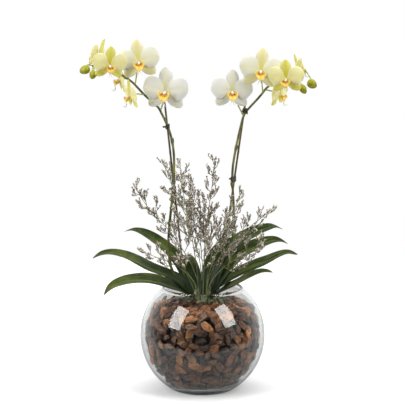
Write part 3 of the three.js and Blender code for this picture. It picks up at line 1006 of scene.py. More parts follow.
def grow(tree: bpy.types.NodeTree, seed_mesh: bpy.types.Mesh, name: str, inputs: dict) -> bpy.types.Object:
    """Run a recipe on a mesh and keep the plain mesh that comes out.

    Args:
        tree: the recipe's tree.
        seed_mesh: what it grows from.
        name: name of the object.
        inputs: a value for each named input.

    Returns:
        The object, with no modifier left.
    """
    piece = link(bpy.data.objects.new(name, seed_mesh))
    modifier = piece.modifiers.new("grow", "NODES")
    modifier.node_group = tree
    for item in tree.interface.items_tree:
        if item.in_out == "INPUT" and item.name in inputs:
            modifier[item.identifier] = inputs[item.name]
    graph = bpy.context.evaluated_depsgraph_get()
    grown = piece.evaluated_get(graph)
    mesh = bpy.data.meshes.new_from_object(grown, preserve_all_data_layers=True, depsgraph=graph)
    piece.modifiers.remove(modifier)
    piece.data = mesh
    mesh.name = name
    return piece


@lru_cache(maxsize=None)
def limb_tree() -> bpy.types.NodeTree:
    """The recipe of a limb: a round tube along every line, as thick as its points say.

    Returns:
        The tree.
    """
    recipe = Recipe("limbs")
    sides = recipe.given("Sides", "Int")
    finish = recipe.given("Finish", "Material")
    lines = recipe.value("GeometryNodeMeshToCurve", None, {"Mesh": recipe.start.outputs["Geometry"]})
    ring = recipe.value("GeometryNodeCurvePrimitiveCircle", None, {"Resolution": sides, "Radius": 1.0})
    inputs = {"Curve": lines, "Profile Curve": ring, "Scale": recipe.attribute("thick"), "Fill Caps": True}
    recipe.result(recipe.value("GeometryNodeCurveToMesh", None, inputs), finish)
    return recipe.tree


@dataclass
class Limbs:
    """Stems, twigs, roots and ties: lines with a thickness at each point."""

    lines: list[np.ndarray] = field(default_factory=list)
    radii: list[np.ndarray] = field(default_factory=list)

    def add(self, line: np.ndarray, radii: np.ndarray | float) -> None:
        """Add a line, with its radius at each point or all along."""
        self.lines.append(line)
        self.radii.append(np.broadcast_to(radii, len(line)))

    def make(self, name: str, finish: Finish, sides: int) -> bpy.types.Object:
        """Grow the limbs as one object.

        Args:
            name: the object's name.
            finish: its finish.
            sides: how many sides each limb has.

        Returns:
            The object.
        """
        mesh = bpy.data.meshes.new(name + "_lines")
        edges, count = [], 0
        for line in self.lines:
            edges += [(i, i + 1) for i in range(count, count + len(line) - 1)]
            count += len(line)
        mesh.from_pydata(np.concatenate(self.lines).tolist(), edges, [])
        thick = mesh.attributes.new("thick", "FLOAT", "POINT")
        thick.data.foreach_set("value", np.concatenate(self.radii).astype(np.float32))
        piece = grow(limb_tree(), mesh, name, {"Sides": sides, "Finish": material_of(finish)})
        point_outwards(piece.data)
        return piece


# ---------------------------------------------------------------- reading the frame


def corners_of(node: str) -> np.ndarray:
    """The triangles of a CAD node, as three corners each."""
    mesh = frame["nodes"][node].data
    return points_of(mesh)[corner_numbers(mesh)].reshape(-1, 3, 3)


def ball_cut(triangles: np.ndarray, centre: np.ndarray, radius: float) -> np.ndarray:
    """Where the edges of a solid pass through a ball."""
    return crossings(triangles, np.linalg.norm(triangles - centre, axis=2) - radius)


def crossings(triangles: np.ndarray, height: np.ndarray) -> np.ndarray:
    """Where the edges of a solid pass through height 0.

    Args:
        triangles: the solid.
        height: a height for each corner of each triangle.

    Returns:
        The points.
    """
    found = []
    for a, b in ((0, 1), (1, 2), (2, 0)):
        crossing = height[:, a] * height[:, b] < 0.0
        share = (height[crossing, a] / (height[crossing, a] - height[crossing, b]))[:, None]
        found.append(triangles[crossing, a] * (1.0 - share) + triangles[crossing, b] * share)
    return np.concatenate(found)


def middle_line(node: str, root: np.ndarray, step: float, width: float, count: int) -> np.ndarray:
    """Follow a stem away from its root.

    Args:
        node: the CAD node.
        root: where the stem starts.
        step: how far apart the cuts are.
        width: what is within this of the line belongs to the stem.
        count: how many points to return.

    Returns:
        Points at even steps, with the stem's radius as a fourth column.
    """
    triangles = corners_of(node)
    distances = np.linalg.norm(triangles.reshape(-1, 3) - root, axis=1)
    line = [np.append(root, 0.0)]
    ahead = root
    for radius in np.arange(distances.min() + step, distances.max(), step):
        cut = ball_cut(triangles, root, radius)
        away = np.linalg.norm(cut - ahead, axis=1)
        if len(cut) == 0 or (len(line) > 3 and away.min() > width * 1.5):
            continue
        near = cut[np.linalg.norm(cut - cut[away.argmin()], axis=1) < width]
        centre = near.mean(axis=0)
        line.append(np.append(centre, np.linalg.norm(near - centre, axis=1).mean()))
        before = line[max(0, len(line) - 4)][:3]
        ahead = centre + unit(centre - before) * step
    line[0][3] = line[1][3]
    return sampled(smoothed(np.array(line), 3), count)


def crown_top(side: str) -> np.ndarray:
    """The middle of the top of a crown."""
    points = corners_of(f"{side}_crown_and_roots").reshape(-1, 3)
    return points[points[:, 2] > points[:, 2].max() - 0.1 * MM].mean(axis=0)


def parts_named(start: str, end: str = "") -> list[str]:
    """The CAD nodes whose names start and end so, in order."""
    names = [n for n in frame["nodes"] if n.startswith(start) and n.endswith(end)]
    return sorted(names, key=lambda n: (len(n), n))


# ---------------------------------------------------------------- the bowl and its bark


@dataclass
class GlassBowl:
    """A ball of glass with a flat foot and a fire-rounded rim."""

    node: str = "glass_bowl"
    sides: int = 160
    lip_swell: float = 0.6 * MM  # how much thicker than half a wall the rim's bead is

    def __post_init__(self) -> None:
        """Read the bowl's sizes from its CAD node."""
        points = corners_of(self.node).reshape(-1, 3)
        radii = np.hypot(points[:, 0], points[:, 1])
        on_axis = radii < 1 * MM
        self.rim_level = points[:, 2].max()
        self.floor_level = points[on_axis, 2].max()
        self.foot = radii[points[:, 2] < 0.1 * MM].max()
        self.belly = radii.max()
        self.centre = math.sqrt(self.belly**2 - self.foot**2)
        reach = np.hypot(radii, points[:, 2] - self.centre)
        inside = (points[:, 2] > self.floor_level + 1 * MM) & (reach < self.belly - 1 * MM)
        self.inner = reach[inside & (points[:, 2] < self.rim_level - 8 * MM)].max()
        self.wall = self.belly - self.inner

    def level_radius(self, radius: float, level: float) -> float:
        """Radius at a level of a ball about the bowl's centre."""
        return math.sqrt(max(radius**2 - (level - self.centre) ** 2, 0.0))

    def arc(self, radius: float, low: float, high: float, steps: int) -> np.ndarray:
        """Radius and height pairs up a ball about the bowl's centre.

        Args:
            radius: radius of the ball.
            low: height where the arc starts.
            high: height where it ends.
            steps: how many steps it takes.

        Returns:
            The pairs.
        """
        ends = [math.asin((z - self.centre) / radius) for z in (low, high)]
        angle = np.linspace(*ends, steps + 1)
        return np.stack((radius * np.cos(angle), self.centre + radius * np.sin(angle)), axis=1)

    def build(self) -> bpy.types.Object:
        """Turn the bowl's wall, with a round rim and a soft corner inside the foot.

        Returns:
            The bowl.
        """
        half = self.wall / 2.0 + self.lip_swell
        shoulder = self.rim_level - half
        outside = self.arc(self.belly, 1.2 * MM, shoulder, 56)
        inside = self.arc(self.inner, self.floor_level + 5 * MM, shoulder, 50)[::-1]
        middle = (outside[-1] + inside[0]) / 2.0
        turn = np.linspace(0.0, math.pi, 11)[1:-1]
        rim = middle + half * np.stack((np.cos(turn), np.sin(turn)), axis=1)
        ease = np.linspace(0.0, 1.0, 9)[1:, None]
        low, deep = inside[-1], np.array((inside[-1][0] * 0.6, self.floor_level))
        knee = np.array((inside[-1][0] - 6 * MM, self.floor_level + 0.5 * MM))
        bowl_floor = (1 - ease) ** 2 * low + 2 * ease * (1 - ease) * knee + ease**2 * deep
        edge = self.foot - 1 * MM
        foot = np.array([(0.0, 0.0), (edge - 3 * MM, 0.0), (edge, 0.0), (edge + 1.2 * MM, 0.4 * MM)])
        profile = np.concatenate((foot, outside, rim, inside, bowl_floor, [(0.0, self.floor_level)]))
        shape = Shape()
        lathe_into(shape, profile, self.sides)
        return stand_for(shape.make("bowl", GLASS), "bowl_glass", self.node)


class ChipLayer(Enum):
    """Where loose bark lies: its depth under the glass or the top, its tilt and its spacing."""

    AGAINST_GLASS = (7.5 * MM, 16.0, 11.0 * MM)
    BEHIND_GLASS = (16.0 * MM, 30.0, 13.0 * MM)
    ON_TOP = (1.0 * MM, 26.0, 10.0 * MM)
    UNDER_TOP = (8.0 * MM, 34.0, 13.0 * MM)


@dataclass
class BarkBed:
    """Loose pieces of pine bark round a dark core."""

    bowl: GlassBowl
    node: str = "bark_bed"
    kinds: int = 7
    length: float = 22 * MM
    width: float = 12 * MM
    thickness: float = 8 * MM
    clear_of_glass: float = 1.6 * MM
    shade_depth: float = 14 * MM  # bark that lies deeper than this is all painted shade
    seed: int = 4

    def __post_init__(self) -> None:
        """Read the bed's levels from its CAD node."""
        points = corners_of(self.node).reshape(-1, 3)
        radii = np.hypot(points[:, 0], points[:, 1])
        self.bottom = points[:, 2].min()
        self.crest = points[:, 2].max()
        rim = self.bowl.level_radius(self.bowl.inner, self.crest) - 3 * MM
        self.at_wall = points[(radii > rim) & (points[:, 2] > self.bowl.centre), 2].max()

    def _skin(self, depth: float, top: bool, name: str) -> bpy.types.Mesh:
        """The surface that a layer of chips lies on.

        Args:
            depth: how far inside the bed's own surface it is.
            top: the top of the bed, and not its side.
            name: the mesh's name.

        Returns:
            The surface.
        """
        radius = self.bowl.inner - (0.0 if top else depth)
        edge = self.bowl.level_radius(self.bowl.inner, self.at_wall)
        if top:
            share = np.linspace(1.0, 0.02, 10)
            level = self.crest - (self.crest - self.at_wall) * share**2 - depth
            profile = np.stack((share * (edge - 9 * MM), level), axis=1)
        else:
            profile = self.bowl.arc(radius, self.bottom + 4 * MM, self.at_wall + 1 * MM, 24)
        sides = 64
        rings = [[(r * math.cos(t), r * math.sin(t), z) for t in round_about(sides)] for r, z in profile]
        mesh = bpy.data.meshes.new(name)
        mesh.from_pydata([p for ring in rings for p in ring], [], bands(len(rings), sides))
        return mesh

    def _chip_kinds(self) -> bpy.types.Collection:
        """A few chips, each a worn splinter of its own shape.

        Returns:
            The chips, to be scattered.
        """
        chance = np.random.default_rng(self.seed)
        kinds = bpy.data.collections.new("chip_kinds")
        for kind in range(self.kinds):
            work = bmesh.new()
            bmesh.ops.create_cube(work, size=1.0)
            bmesh.ops.subdivide_edges(work, edges=work.edges, cuts=2, use_grid_fill=True)
            bow, skew = chance.uniform(-0.12, 0.12), chance.uniform(-0.25, 0.25)
            blunt = chance.uniform(0.3, 0.75, size=2)
            for vertex in work.verts:
                x, y, z = vertex.co * 2.0
                narrow = 1.0 - blunt[int(x > 0)] * abs(x) ** 2.2 * 0.75
                soft = 1.0 / math.sqrt(1.0 + 0.25 * (y * y * z * z + x * x * z * z))
                shake = chance.normal(0.0, 0.1, size=3)
                bowed = bow * self.length * (x * x - 0.5) * 0.5
                vertex.co = (
                    (x * soft + shake[0]) * self.length / 2,
                    (y * narrow * soft + skew * x * 0.5 + shake[1]) * self.width / 2,
                    (z * narrow * soft + shake[2]) * self.thickness / 2 + bowed,
                )
            bmesh.ops.recalc_face_normals(work, faces=work.faces)
            mesh = bpy.data.meshes.new(f"chip_{kind}")
            work.to_mesh(mesh)
            work.free()
            kinds.objects.link(bpy.data.objects.new(f"chip_{kind}", mesh))
        return kinds

    @staticmethod
    @lru_cache(maxsize=None)
    def _tree() -> bpy.types.NodeTree:
        """The recipe that scatters chips over a surface, lying along it and turned every way.

        Returns:
            The tree.
        """
        recipe = Recipe("scattered_chips")
        kinds = recipe.given("Kinds", "Collection")
        spacing = recipe.given("Spacing", "Float")
        tilt = recipe.given("Tilt", "Float")
        sink = recipe.given("Sink", "Float")
        seed = recipe.given("Seed", "Int")
        finish = recipe.given("Finish", "Material")
        inputs = {"Mesh": recipe.start.outputs["Geometry"], "Distance Min": spacing, "Density Max": 60000.0}
        settings = {"distribute_method": "POISSON"}
        scatter = recipe.node("GeometryNodeDistributePointsOnFaces", settings, {**inputs, "Seed": seed})
        lying = recipe.turned(Value(recipe, scatter.outputs["Rotation"]), (0.0, 0.0, 1.0),
                              recipe.chance(0.0, math.tau, seed + 1.0))
        lying = recipe.turned(lying, (1.0, 0.0, 0.0), recipe.chance(-1.0, 1.0, seed + 2.0) * tilt)
        lying = recipe.turned(lying, (0.0, 1.0, 0.0), recipe.chance(-1.0, 1.0, seed + 3.0) * tilt)
        depth = recipe.chance(-1.0, 0.0, seed + 4.0) * sink
        scaled = {0: Value(recipe, scatter.outputs["Normal"]), "Scale": depth}
        offset = recipe.value("ShaderNodeVectorMath", {"operation": "SCALE"}, scaled)
        moved = recipe.value("GeometryNodeSetPosition", None,
                             {"Geometry": Value(recipe, scatter.outputs["Points"]), "Offset": offset})
        chips = recipe.value("GeometryNodeCollectionInfo", None,
                             {"Collection": kinds, "Separate Children": True, "Reset Children": True})
        size = recipe.chance(0.62, 1.12, seed + 5.0)
        inputs = {"Points": moved, "Instance": chips, "Pick Instance": True, "Rotation": lying, "Scale": size}
        inputs["Instance Index"] = recipe.chance(0, 30, seed + 6.0, "INT")
        placed = recipe.value("GeometryNodeInstanceOnPoints", None, inputs)
        recipe.result(recipe.toned(placed, seed + 7.0), finish, smooth=False)
        return recipe.tree

    def build(self) -> None:
        """Scatter each layer of chips, press them inside the glass, and turn the core."""
        kinds = self._chip_kinds()
        for number, layer in enumerate(ChipLayer):
            depth, tilt, spacing = layer.value
            top = layer in (ChipLayer.ON_TOP, ChipLayer.UNDER_TOP)
            name = "bark_" + layer.name.lower()
            inputs = {"Kinds": kinds, "Spacing": spacing, "Tilt": math.radians(tilt), "Sink": 4 * MM,
                      "Seed": self.seed + 20 * number, "Finish": material_of(BARK)}
            piece = grow(self._tree(), self._skin(depth, top, name + "_skin"), name, inputs)
            self._press_inside(piece.data)
            stand_for(piece, "bark", *([self.node] if number == 0 else []))
        for chip in list(kinds.objects):
            bpy.data.objects.remove(chip)
        bpy.data.collections.remove(kinds)
        self._core()

    def _press_inside(self, mesh: bpy.types.Mesh) -> None:
        """Move any point that is past the glass back inside, and note how deep each point lies, for the
        painted shade of deep bark.

        Args:
            mesh: the bed's mesh.
        """
        points = points_of(mesh)
        centre = np.array((0.0, 0.0, self.bowl.centre))
        reach = np.linalg.norm(points - centre, axis=1, keepdims=True)
        limit = self.bowl.inner - self.clear_of_glass
        points = centre + (points - centre) * np.minimum(1.0, limit / reach)
        points[:, 2] = np.maximum(points[:, 2], self.bowl.floor_level + self.clear_of_glass)
        radii = np.hypot(points[:, 0], points[:, 1]) / self.bowl.level_radius(self.bowl.inner, self.at_wall)
        over = self.crest - (self.crest - self.at_wall) * radii**2 - points[:, 2]
        under_glass = self.bowl.inner - np.linalg.norm(points - centre, axis=1)
        # From 1 at the surface to 0 deep in the bed; the finish turns it into painted shade.
        bare = mesh.attributes.new("bare", "FLOAT", "POINT")
        bare.data.foreach_set("value", 1.0 - (np.minimum(over, under_glass) / self.shade_depth).clip(0.0, 1.0))
        mesh.vertices.foreach_set("co", points.ravel())
        mesh.update()

    def _core(self) -> None:
        """The bark in the middle of the bed, which the chips hide; with no unshaded share on its points it
        takes the near-black painted shade all over.
        """
        side = self.bowl.arc(self.bowl.inner - 16 * MM, self.bottom + 8 * MM, self.at_wall - 9 * MM, 20)
        base = np.array([(0.0, side[0][1])])
        top = np.array([(0.0, self.crest - 9 * MM)])
        shape = Shape()
        lathe_into(shape, np.concatenate((base, side, top)), 48)
        stand_for(shape.make("bark_core", BARK), "bark")


# ---------------------------------------------------------------- the plants


@dataclass
class Crown:
    """The stub that leaves and stem grow from, and the roots that creep over the bark."""

    side: str
    bed: BarkBed
    roots: int = 7
    root_radius: float = 1.9 * MM
    fibres: int = 150
    seed: int = 31

    def build(self) -> None:
        """Grow the stub and its roots as one piece."""
        top = crown_top(self.side)
        mirror = math.copysign(1.0, top[0])
        stub = Limbs()
        line = np.linspace(top - UP * 32 * MM, top + UP * 1 * MM, 14)
        share = np.linspace(0.0, 1.0, 14)
        stub.add(line, (6.6 - 5.2 * share**2) * MM)
        chance = np.random.default_rng(self.seed + int(mirror))
        for number in range(self.roots):
            turn = -math.pi / 2 + (number - self.roots / 2 + 0.5) * 0.62 + chance.normal(0.0, 0.12)
            stub.add(*self._root(top, turn, mirror, chance))
        for _ in range(self.fibres):
            stub.add(*self._fibre(top, chance))
        piece = stub.make(f"{self.side}_crown", ROOT, 10)
        stand_for(piece, "crown", f"{self.side}_crown_and_roots")

    def _fibre(self, top: np.ndarray, chance: np.random.Generator) -> tuple[np.ndarray, float]:
        """A thin curl of moss or dead root that lies about the stub.

        Args:
            top: top of the stub.
            chance: source of its wanderings.

        Returns:
            Its line and its radius.
        """
        turn = chance.uniform(0.0, math.tau)
        out = chance.uniform(4.0, 27.0) * MM
        base = np.array((top[0] + out * math.cos(turn), top[1] + out * math.sin(turn) * 0.8, self.bed.crest))
        base = base + UP * (chance.uniform(0.0, 7.0) * MM - out * 0.12)
        points = base + np.cumsum(chance.normal(0.0, 2.6, size=(5, 3)) * (1.0, 1.0, 0.6), axis=0) * MM
        return curve_through(points, 12), chance.uniform(0.4, 0.75) * MM

    def _root(self, top: np.ndarray, turn: float, mirror: float, chance: np.random.Generator) -> tuple:
        """One root that leaves the stub, humps over the bark and dives.

        Args:
            top: top of the stub.
            turn: the way the root leaves, for the right-hand crown.
            mirror: 1 on the right, -1 on the left.
            chance: source of its wanderings.

        Returns:
            Its line and its radii.
        """
        away = np.array((math.cos(turn) * mirror, math.sin(turn), 0.0))
        aside = np.cross(UP, away) * chance.normal(0.0, 5.0) * MM
        reach = chance.uniform(24.0, 40.0) * MM
        base = np.array((top[0], top[1], self.bed.crest))
        points = [
            base - away * 1 * MM + UP * 2 * MM,
            base + away * reach * 0.3 + UP * chance.uniform(3.0, 6.0) * MM,
            base + away * reach * 0.65 + aside + UP * chance.uniform(0.5, 3.0) * MM,
            base + away * reach * 0.9 + aside * 1.8 - UP * 6 * MM,
            base + away * reach + aside * 2.0 - UP * 16 * MM,
        ]
        line = curve_through(points, 26)
        swell = 1.0 + 0.1 * np.sin(np.linspace(0.0, 11.0, 26) + chance.uniform(0.0, 6.0))
        return line, self.root_radius * chance.uniform(0.8, 1.15) * swell


@dataclass
class Leaf:
    """A strap leaf, channelled along its midrib, that arches out of its crown."""

    node: str
    thickness: float = 1.7 * MM
    channel: float = 0.42  # rise of the edges, as a share of the half width
    wave: float = 0.5 * MM
    rows: int = 64
    cut_step: float = 3 * MM

    def _frames(self) -> tuple[np.ndarray, np.ndarray, np.ndarray]:
        """Follow the CAD leaf from its crown to its tip.

        Returns:
            Points of the spine, unit vectors across the blade and its half widths.
        """
        root = crown_top(self.node.split("_")[0]) - UP * 8 * MM
        triangles = corners_of(self.node)
        distances = np.linalg.norm(triangles.reshape(-1, 3) - root, axis=1)
        rows, before = [], None
        for radius in np.arange(distances.min() + self.cut_step, distances.max() - 1 * MM, self.cut_step):
            cut = ball_cut(triangles, root, radius)
            if len(cut) < 4:
                continue
            middle = cut.mean(axis=0)
            across = np.linalg.svd(cut - middle)[2][0]
            across = across if before is None or across @ before > 0.0 else -across
            along = (cut - middle) @ across
            low, high = cut[along.argmin()], cut[along.argmax()]
            half = np.linalg.norm(high - low) / 2.0
            centre = (low + high) / 2.0
            near = cut[np.abs((cut - centre) @ across) < 0.3 * half]
            spine = near.mean(axis=0) if len(near) else centre
            rows.append(np.concatenate((spine, unit(high - low), [half])))
            before = unit(high - low)
        tip = triangles.reshape(-1, 3)[distances.argmax()]
        rows.append(np.concatenate((tip, before, [0.0])))
        rows.insert(0, np.concatenate((root, rows[0][3:6], [rows[0][6] * 0.7])))
        line = sampled(smoothed(np.array(rows), 4), self.rows)
        return line[:, :3], unit(line[:, 3:6]), line[:, 6]

    def build(self) -> None:
        """Sweep the blade along its spine."""
        spine, across, half = self._frames()
        along = tangents(spine)
        up = unit(np.cross(across, along))
        if up[len(up) // 2] @ UP < 0.0:
            across, up = -across, -up
        share = np.linspace(0.0, 1.0, self.rows)
        widest = half.max()
        outline = widest * np.minimum(1.0, 0.8 + 0.9 * share) * (1.0 - share**4.2) ** 0.8
        phase = spine[self.rows // 2, 0] * 90.0

        def lift(side: np.ndarray, share: np.ndarray, half: np.ndarray) -> np.ndarray:
            """Raise the edges in a soft channel, with a little wave."""
            channel = self.channel * half * (np.sqrt(side**2 + 0.02) - 0.14)
            return channel + self.wave * side**2 * np.sin(share * 15.0 + phase + side)

        blade = Blade(spine, across, up, np.maximum(outline, 0.25 * MM), share, self.thickness, lift, 14)
        shape = Shape()
        blade.into(shape)
        stand_for(shape.make(self.node.replace("leaf_", "strap_leaf_"), LEAF), "leaf", self.node)


def skin_axes(triangles: np.ndarray) -> tuple[np.ndarray, np.ndarray, np.ndarray, np.ndarray]:
    """How the skin of a solid is spread about its middle.

    Args:
        triangles: the solid.

    Returns:
        The triangles' weights, their centres from the middle, the middle and the axes, shortest first.
    """
    edges = triangles[:, 1:] - triangles[:, :1]
    areas = np.linalg.norm(np.cross(edges[:, 0], edges[:, 1]), axis=1)
    centres = triangles.mean(axis=1)
    middle = np.average(centres, axis=0, weights=areas)
    away = centres - middle
    return areas, away, middle, np.linalg.eigh(np.einsum("i,ij,ik->jk", areas, away, away))[1]


def mirror_axis(triangles: np.ndarray) -> np.ndarray:
    """The axis that a symmetrical solid is the same on both sides of.

    Args:
        triangles: the solid.

    Returns:
        The unit vector.
    """
    areas, away, _, axes = skin_axes(triangles)
    reach = away @ axes
    lean = np.abs(np.average(reach**3, axis=0, weights=areas))
    return axes[:, (lean / np.average(np.abs(reach) ** 3, axis=0, weights=areas)).argmin()]


@dataclass
class FlowerPose:
    """Where a flower stands: its heart, its axes and its size against a full-grown one."""

    side: str
    number: int
    cut_height: float = 47.6 * MM  # the cut through the middle of a full-grown flower
    sepal_tip: float = 38.2 * MM  # how far the top of that cut is from the heart
    petal_lag: float = math.radians(8.9)  # how far behind the heart the tips of open petals stand

    def __post_init__(self) -> None:
        """Read the pose from the flower's two CAD nodes."""
        petals = corners_of(f"{self.side}_flower_{self.number}_petals")
        lip = corners_of(f"{self.side}_flower_{self.number}_lip")
        self.right = mirror_axis(np.concatenate((petals, lip)))
        across = petals.reshape(-1, 3) @ self.right
        plane = (across.min() + across.max()) / 2.0
        sepal = crossings(petals, petals @ self.right - plane)
        towards = lip.reshape(-1, 3).mean(axis=0) - sepal.mean(axis=0)
        top = np.linalg.svd(sepal - sepal.mean(axis=0))[2][0]
        top = unit(top - self.right * (top @ self.right))
        self.top = top if top @ towards < 0.0 else -top
        self.looks = np.cross(self.right, self.top)
        if self.looks @ towards < 0.0:
            self.right, self.looks, across = -self.right, -self.looks, -across
        heights = sepal @ self.top
        self.size = np.ptp(heights) / self.cut_height
        rise = heights.max() - self.sepal_tip * self.size - heights.mean()
        self.heart = sepal.mean(axis=0) + self.top * rise
        tip = petals.reshape(-1, 3)[across.argmax()] - self.heart
        self.swing = math.atan2(tip @ self.looks, tip @ self.right) + self.petal_lag
        LOG.info("%s flower %d: size %.2f, petals %.0f degrees forward", self.side, self.number, self.size,
                 math.degrees(self.swing))

    def world(self, points: np.ndarray) -> np.ndarray:
        """Points in the flower's own frame, in full-grown size, taken into the CAD frame.

        Args:
            points: the points.

        Returns:
            The same points in the CAD frame.
        """
        x, y, z = np.moveaxis(points, -1, 0)
        moved = x[..., None] * self.right - y[..., None] * self.looks + z[..., None] * self.top
        return self.heart + self.size * moved

    @property
    def back(self) -> np.ndarray:
        """The way the flower's back looks."""
        return -self.looks


@dataclass
class Flower:
    """A moth orchid flower: three sepals behind, two broad petals, the lip and the column."""

    pose: FlowerPose
    petal: PetalFinish
    sepal: PetalFinish
    thickness: float = 0.9 * MM

    def _add(self, shape: Shape, blade: Blade) -> None:
        """Add a blade of the flower's own frame to a shape in the CAD frame.

        Args:
            shape: the shape that takes it.
            blade: the blade.
        """
        own = Shape()
        blade.into(own)
        shape.add(self.pose.world(np.concatenate(own.points)), own.faces, np.concatenate(own.uvs))

    def _ruffle(self, cup: float, wave: float, phase: float) -> Callable:
        """How a petal bends.

        Args:
            cup: its bow, as a share of its half width.
            wave: height of the ripple at its edges.
            phase: where the ripple starts.

        Returns:
            The height of its middle face, as a blade's lift.
        """

        def lift(side: np.ndarray, share: np.ndarray, half: np.ndarray) -> np.ndarray:
            """Bow the blade back from its middle, crease it and ripple its edges.

            Args:
                side: from -1 at one edge to 1 at the other.
                share: how far along.
                half: half widths.

            Returns:
                The heights.
            """
            bow = -cup * half * side**2
            crease = 0.5 * MM * np.exp(-((side / 0.12) ** 2)) * (1.0 - share)
            ripple = wave * side**2 * np.sin(share * 9.0 + side * 2.0 + phase)
            return bow - crease + ripple

        return lift

    def _sepals(self) -> None:
        """The top sepal and the two that spread below."""
        shape = Shape()
        number = self.pose.number
        rest = {"thickness": self.thickness, "columns": 10}
        top = [(0, 0.8, 0), (0, 0.2, 13), (0, 0.2, 27), (0, 2.2, 38.5)]
        outline = Outline(11.2 * MM, 0.58)
        lift = self._ruffle(0.16, 0.4 * MM, number)
        self._add(shape, Blade.along(mm(top), FRONT, outline, lift=lift, **rest))
        for s in (1.0, -1.0):
            low = [(s * 0.5, 1.0, 1), (s * 9.5, 0.6, -8), (s * 18.5, 0.8, -16), (s * 26.5, 3.0, -23.5)]
            lift = self._ruffle(0.14, 0.5 * MM, number + s)
            self._add(shape, Blade.along(mm(low), FRONT, Outline(10.6 * MM, 0.53), lift=lift, **rest))
        self._stand(shape, "sepals", self.sepal, "petal")

    def _petals(self) -> None:
        """The two broad petals."""
        shape = Shape()
        for s in (1.0, -1.0):
            line = mm([(s * 1.2, -0.4, 0.5), (s * 12, -1.4, 3.6), (s * 25, -0.6, 5.4), (s * 36.5, 3.2, 4.6)])
            turn = -s * self.pose.swing
            cosine, sine = math.cos(turn), math.sin(turn)
            spin = np.array(((cosine, sine, 0), (-sine, cosine, 0), (0, 0, 1)))
            outline = Outline(19.4 * MM, 0.57, claw=0.13, rows=36)
            lift = self._ruffle(0.12, 0.9 * MM, self.pose.number * 1.7 + s)
            rest = {"lift": lift, "thickness": self.thickness, "columns": 20}
            self._add(shape, Blade.along(line @ spin, FRONT @ spin, outline, **rest))
        self._stand(shape, "broad_petals", self.petal, "petal", f"{self._name}_petals")

    def _lip(self) -> None:
        """The lip: two raised side lobes, a tongue with a callus, and its two tendrils."""
        shape = Shape()
        rest = {"thickness": 1.1 * MM, "columns": 8}
        for s in (1.0, -1.0):
            wing = [(s * 1, -3, -4.5), (s * 4.2, -6.6, -6), (s * 7, -9.6, -4.2), (s * 8, -11.4, 0.4)]
            lift = self._ruffle(-0.35, 0.2 * MM, s)
            face = unit(np.array((-s * 0.6, -0.75, 0.3)))
            outline = Outline(5 * MM, 0.6, 0.48, rows=18)
            self._add(shape, Blade.along(mm(wing), face, outline, lift=lift, **rest))
        tongue = [(0, -2.5, -4), (0, -8, -6.5), (0, -11.5, -10), (0, -12.5, -15)]
        lift = self._ruffle(-0.25, 0.2 * MM, 1.0)
        face = unit(np.array((0.0, -0.7, 0.7)))
        outline = Outline(6.8 * MM, 0.52, 0.5, rows=20)
        self._add(shape, Blade.along(mm(tongue), face, outline, lift=lift, **rest))
        callus = self._egg((0, -7.2, -4.4), (2.2, 2.4, 1.7))
        shape.add(self.pose.world(callus[0]), callus[1], callus[2])
        self._stand(shape, "fleshy_lip", LIP, "flower_lip", f"{self._name}_lip")
        tendrils = Limbs()
        for s in (1.0, -1.0):
            hang = [(s * 0.8, -12.4, -15), (s * 2.4, -13.6, -19.5)]
            tip = [(s * 4.2, -17, -21.5), (s * 4.6, -20.5, -19.5)]
            line = curve_through(mm([*hang, *tip]), 14)
            tendrils.add(self.pose.world(line), np.linspace(0.7, 0.3, 14) * MM * self.pose.size)
        stand_for(tendrils.make(f"{self._name}_tendrils", TENDRIL, 6), "flower_lip")

    def _column(self) -> None:
        """The column, with its rounded cap, that overhangs the lip."""
        shape = Shape()
        share = np.linspace(0.0, 1.0, 12)
        line = curve_through(mm([(0, 0.2, -1.2), (0, -4, -0.4), (0, -8.4, -1.4), (0, -10.6, -3.6)]), 12)
        radius = (1.9 + 0.7 * share**2) * np.sqrt(1.0 - share**8 * 0.98) * MM
        along = tangents(line)
        sideways = np.array((1.0, 0.0, 0.0))
        across = unit(np.cross(along, sideways))
        sides = 14
        turn = round_about(sides)
        ring = np.cos(turn)[None, :, None] * sideways + np.sin(turn)[None, :, None] * across[:, None]
        points = (line[:, None] + radius[:, None, None] * ring).reshape(-1, 3)
        faces = bands(len(line), sides)
        faces += [list(range(sides))[::-1], list(range(len(points) - sides, len(points)))]
        shape.add(self.pose.world(points), faces, grid_map(turn / math.tau, share))
        self._stand(shape, "column", COLUMN, "flower_lip")

    @staticmethod
    def _egg(centre: tuple, radii: tuple) -> tuple[np.ndarray, list, np.ndarray]:
        """A small closed egg.

        Args:
            centre: its middle, in millimetres.
            radii: its three half sizes, in millimetres.

        Returns:
            Points, faces and map.
        """
        own = Shape()
        angle = np.linspace(-math.pi / 2, math.pi / 2, 8)
        lathe_into(own, np.stack((np.cos(angle), np.sin(angle)), axis=1), 12)
        points = np.concatenate(own.points) * np.array(radii) * MM + mm(centre)
        return points, own.faces, np.concatenate(own.uvs)

    @property
    def _name(self) -> str:
        """The start of the names of the flower's nodes."""
        return f"{self.pose.side}_flower_{self.pose.number}"

    def _stand(self, shape: Shape, part: str, finish: Finish, slot: str, *nodes: str) -> None:
        """Make one part of the flower and tie it to the frame."""
        stand_for(shape.make(f"{self._name}_{part}", finish), slot, *nodes)

    def build(self) -> None:
        """Build the flower from the back to the front."""
        self._sepals()
        self._petals()
        self._lip()
        self._column()


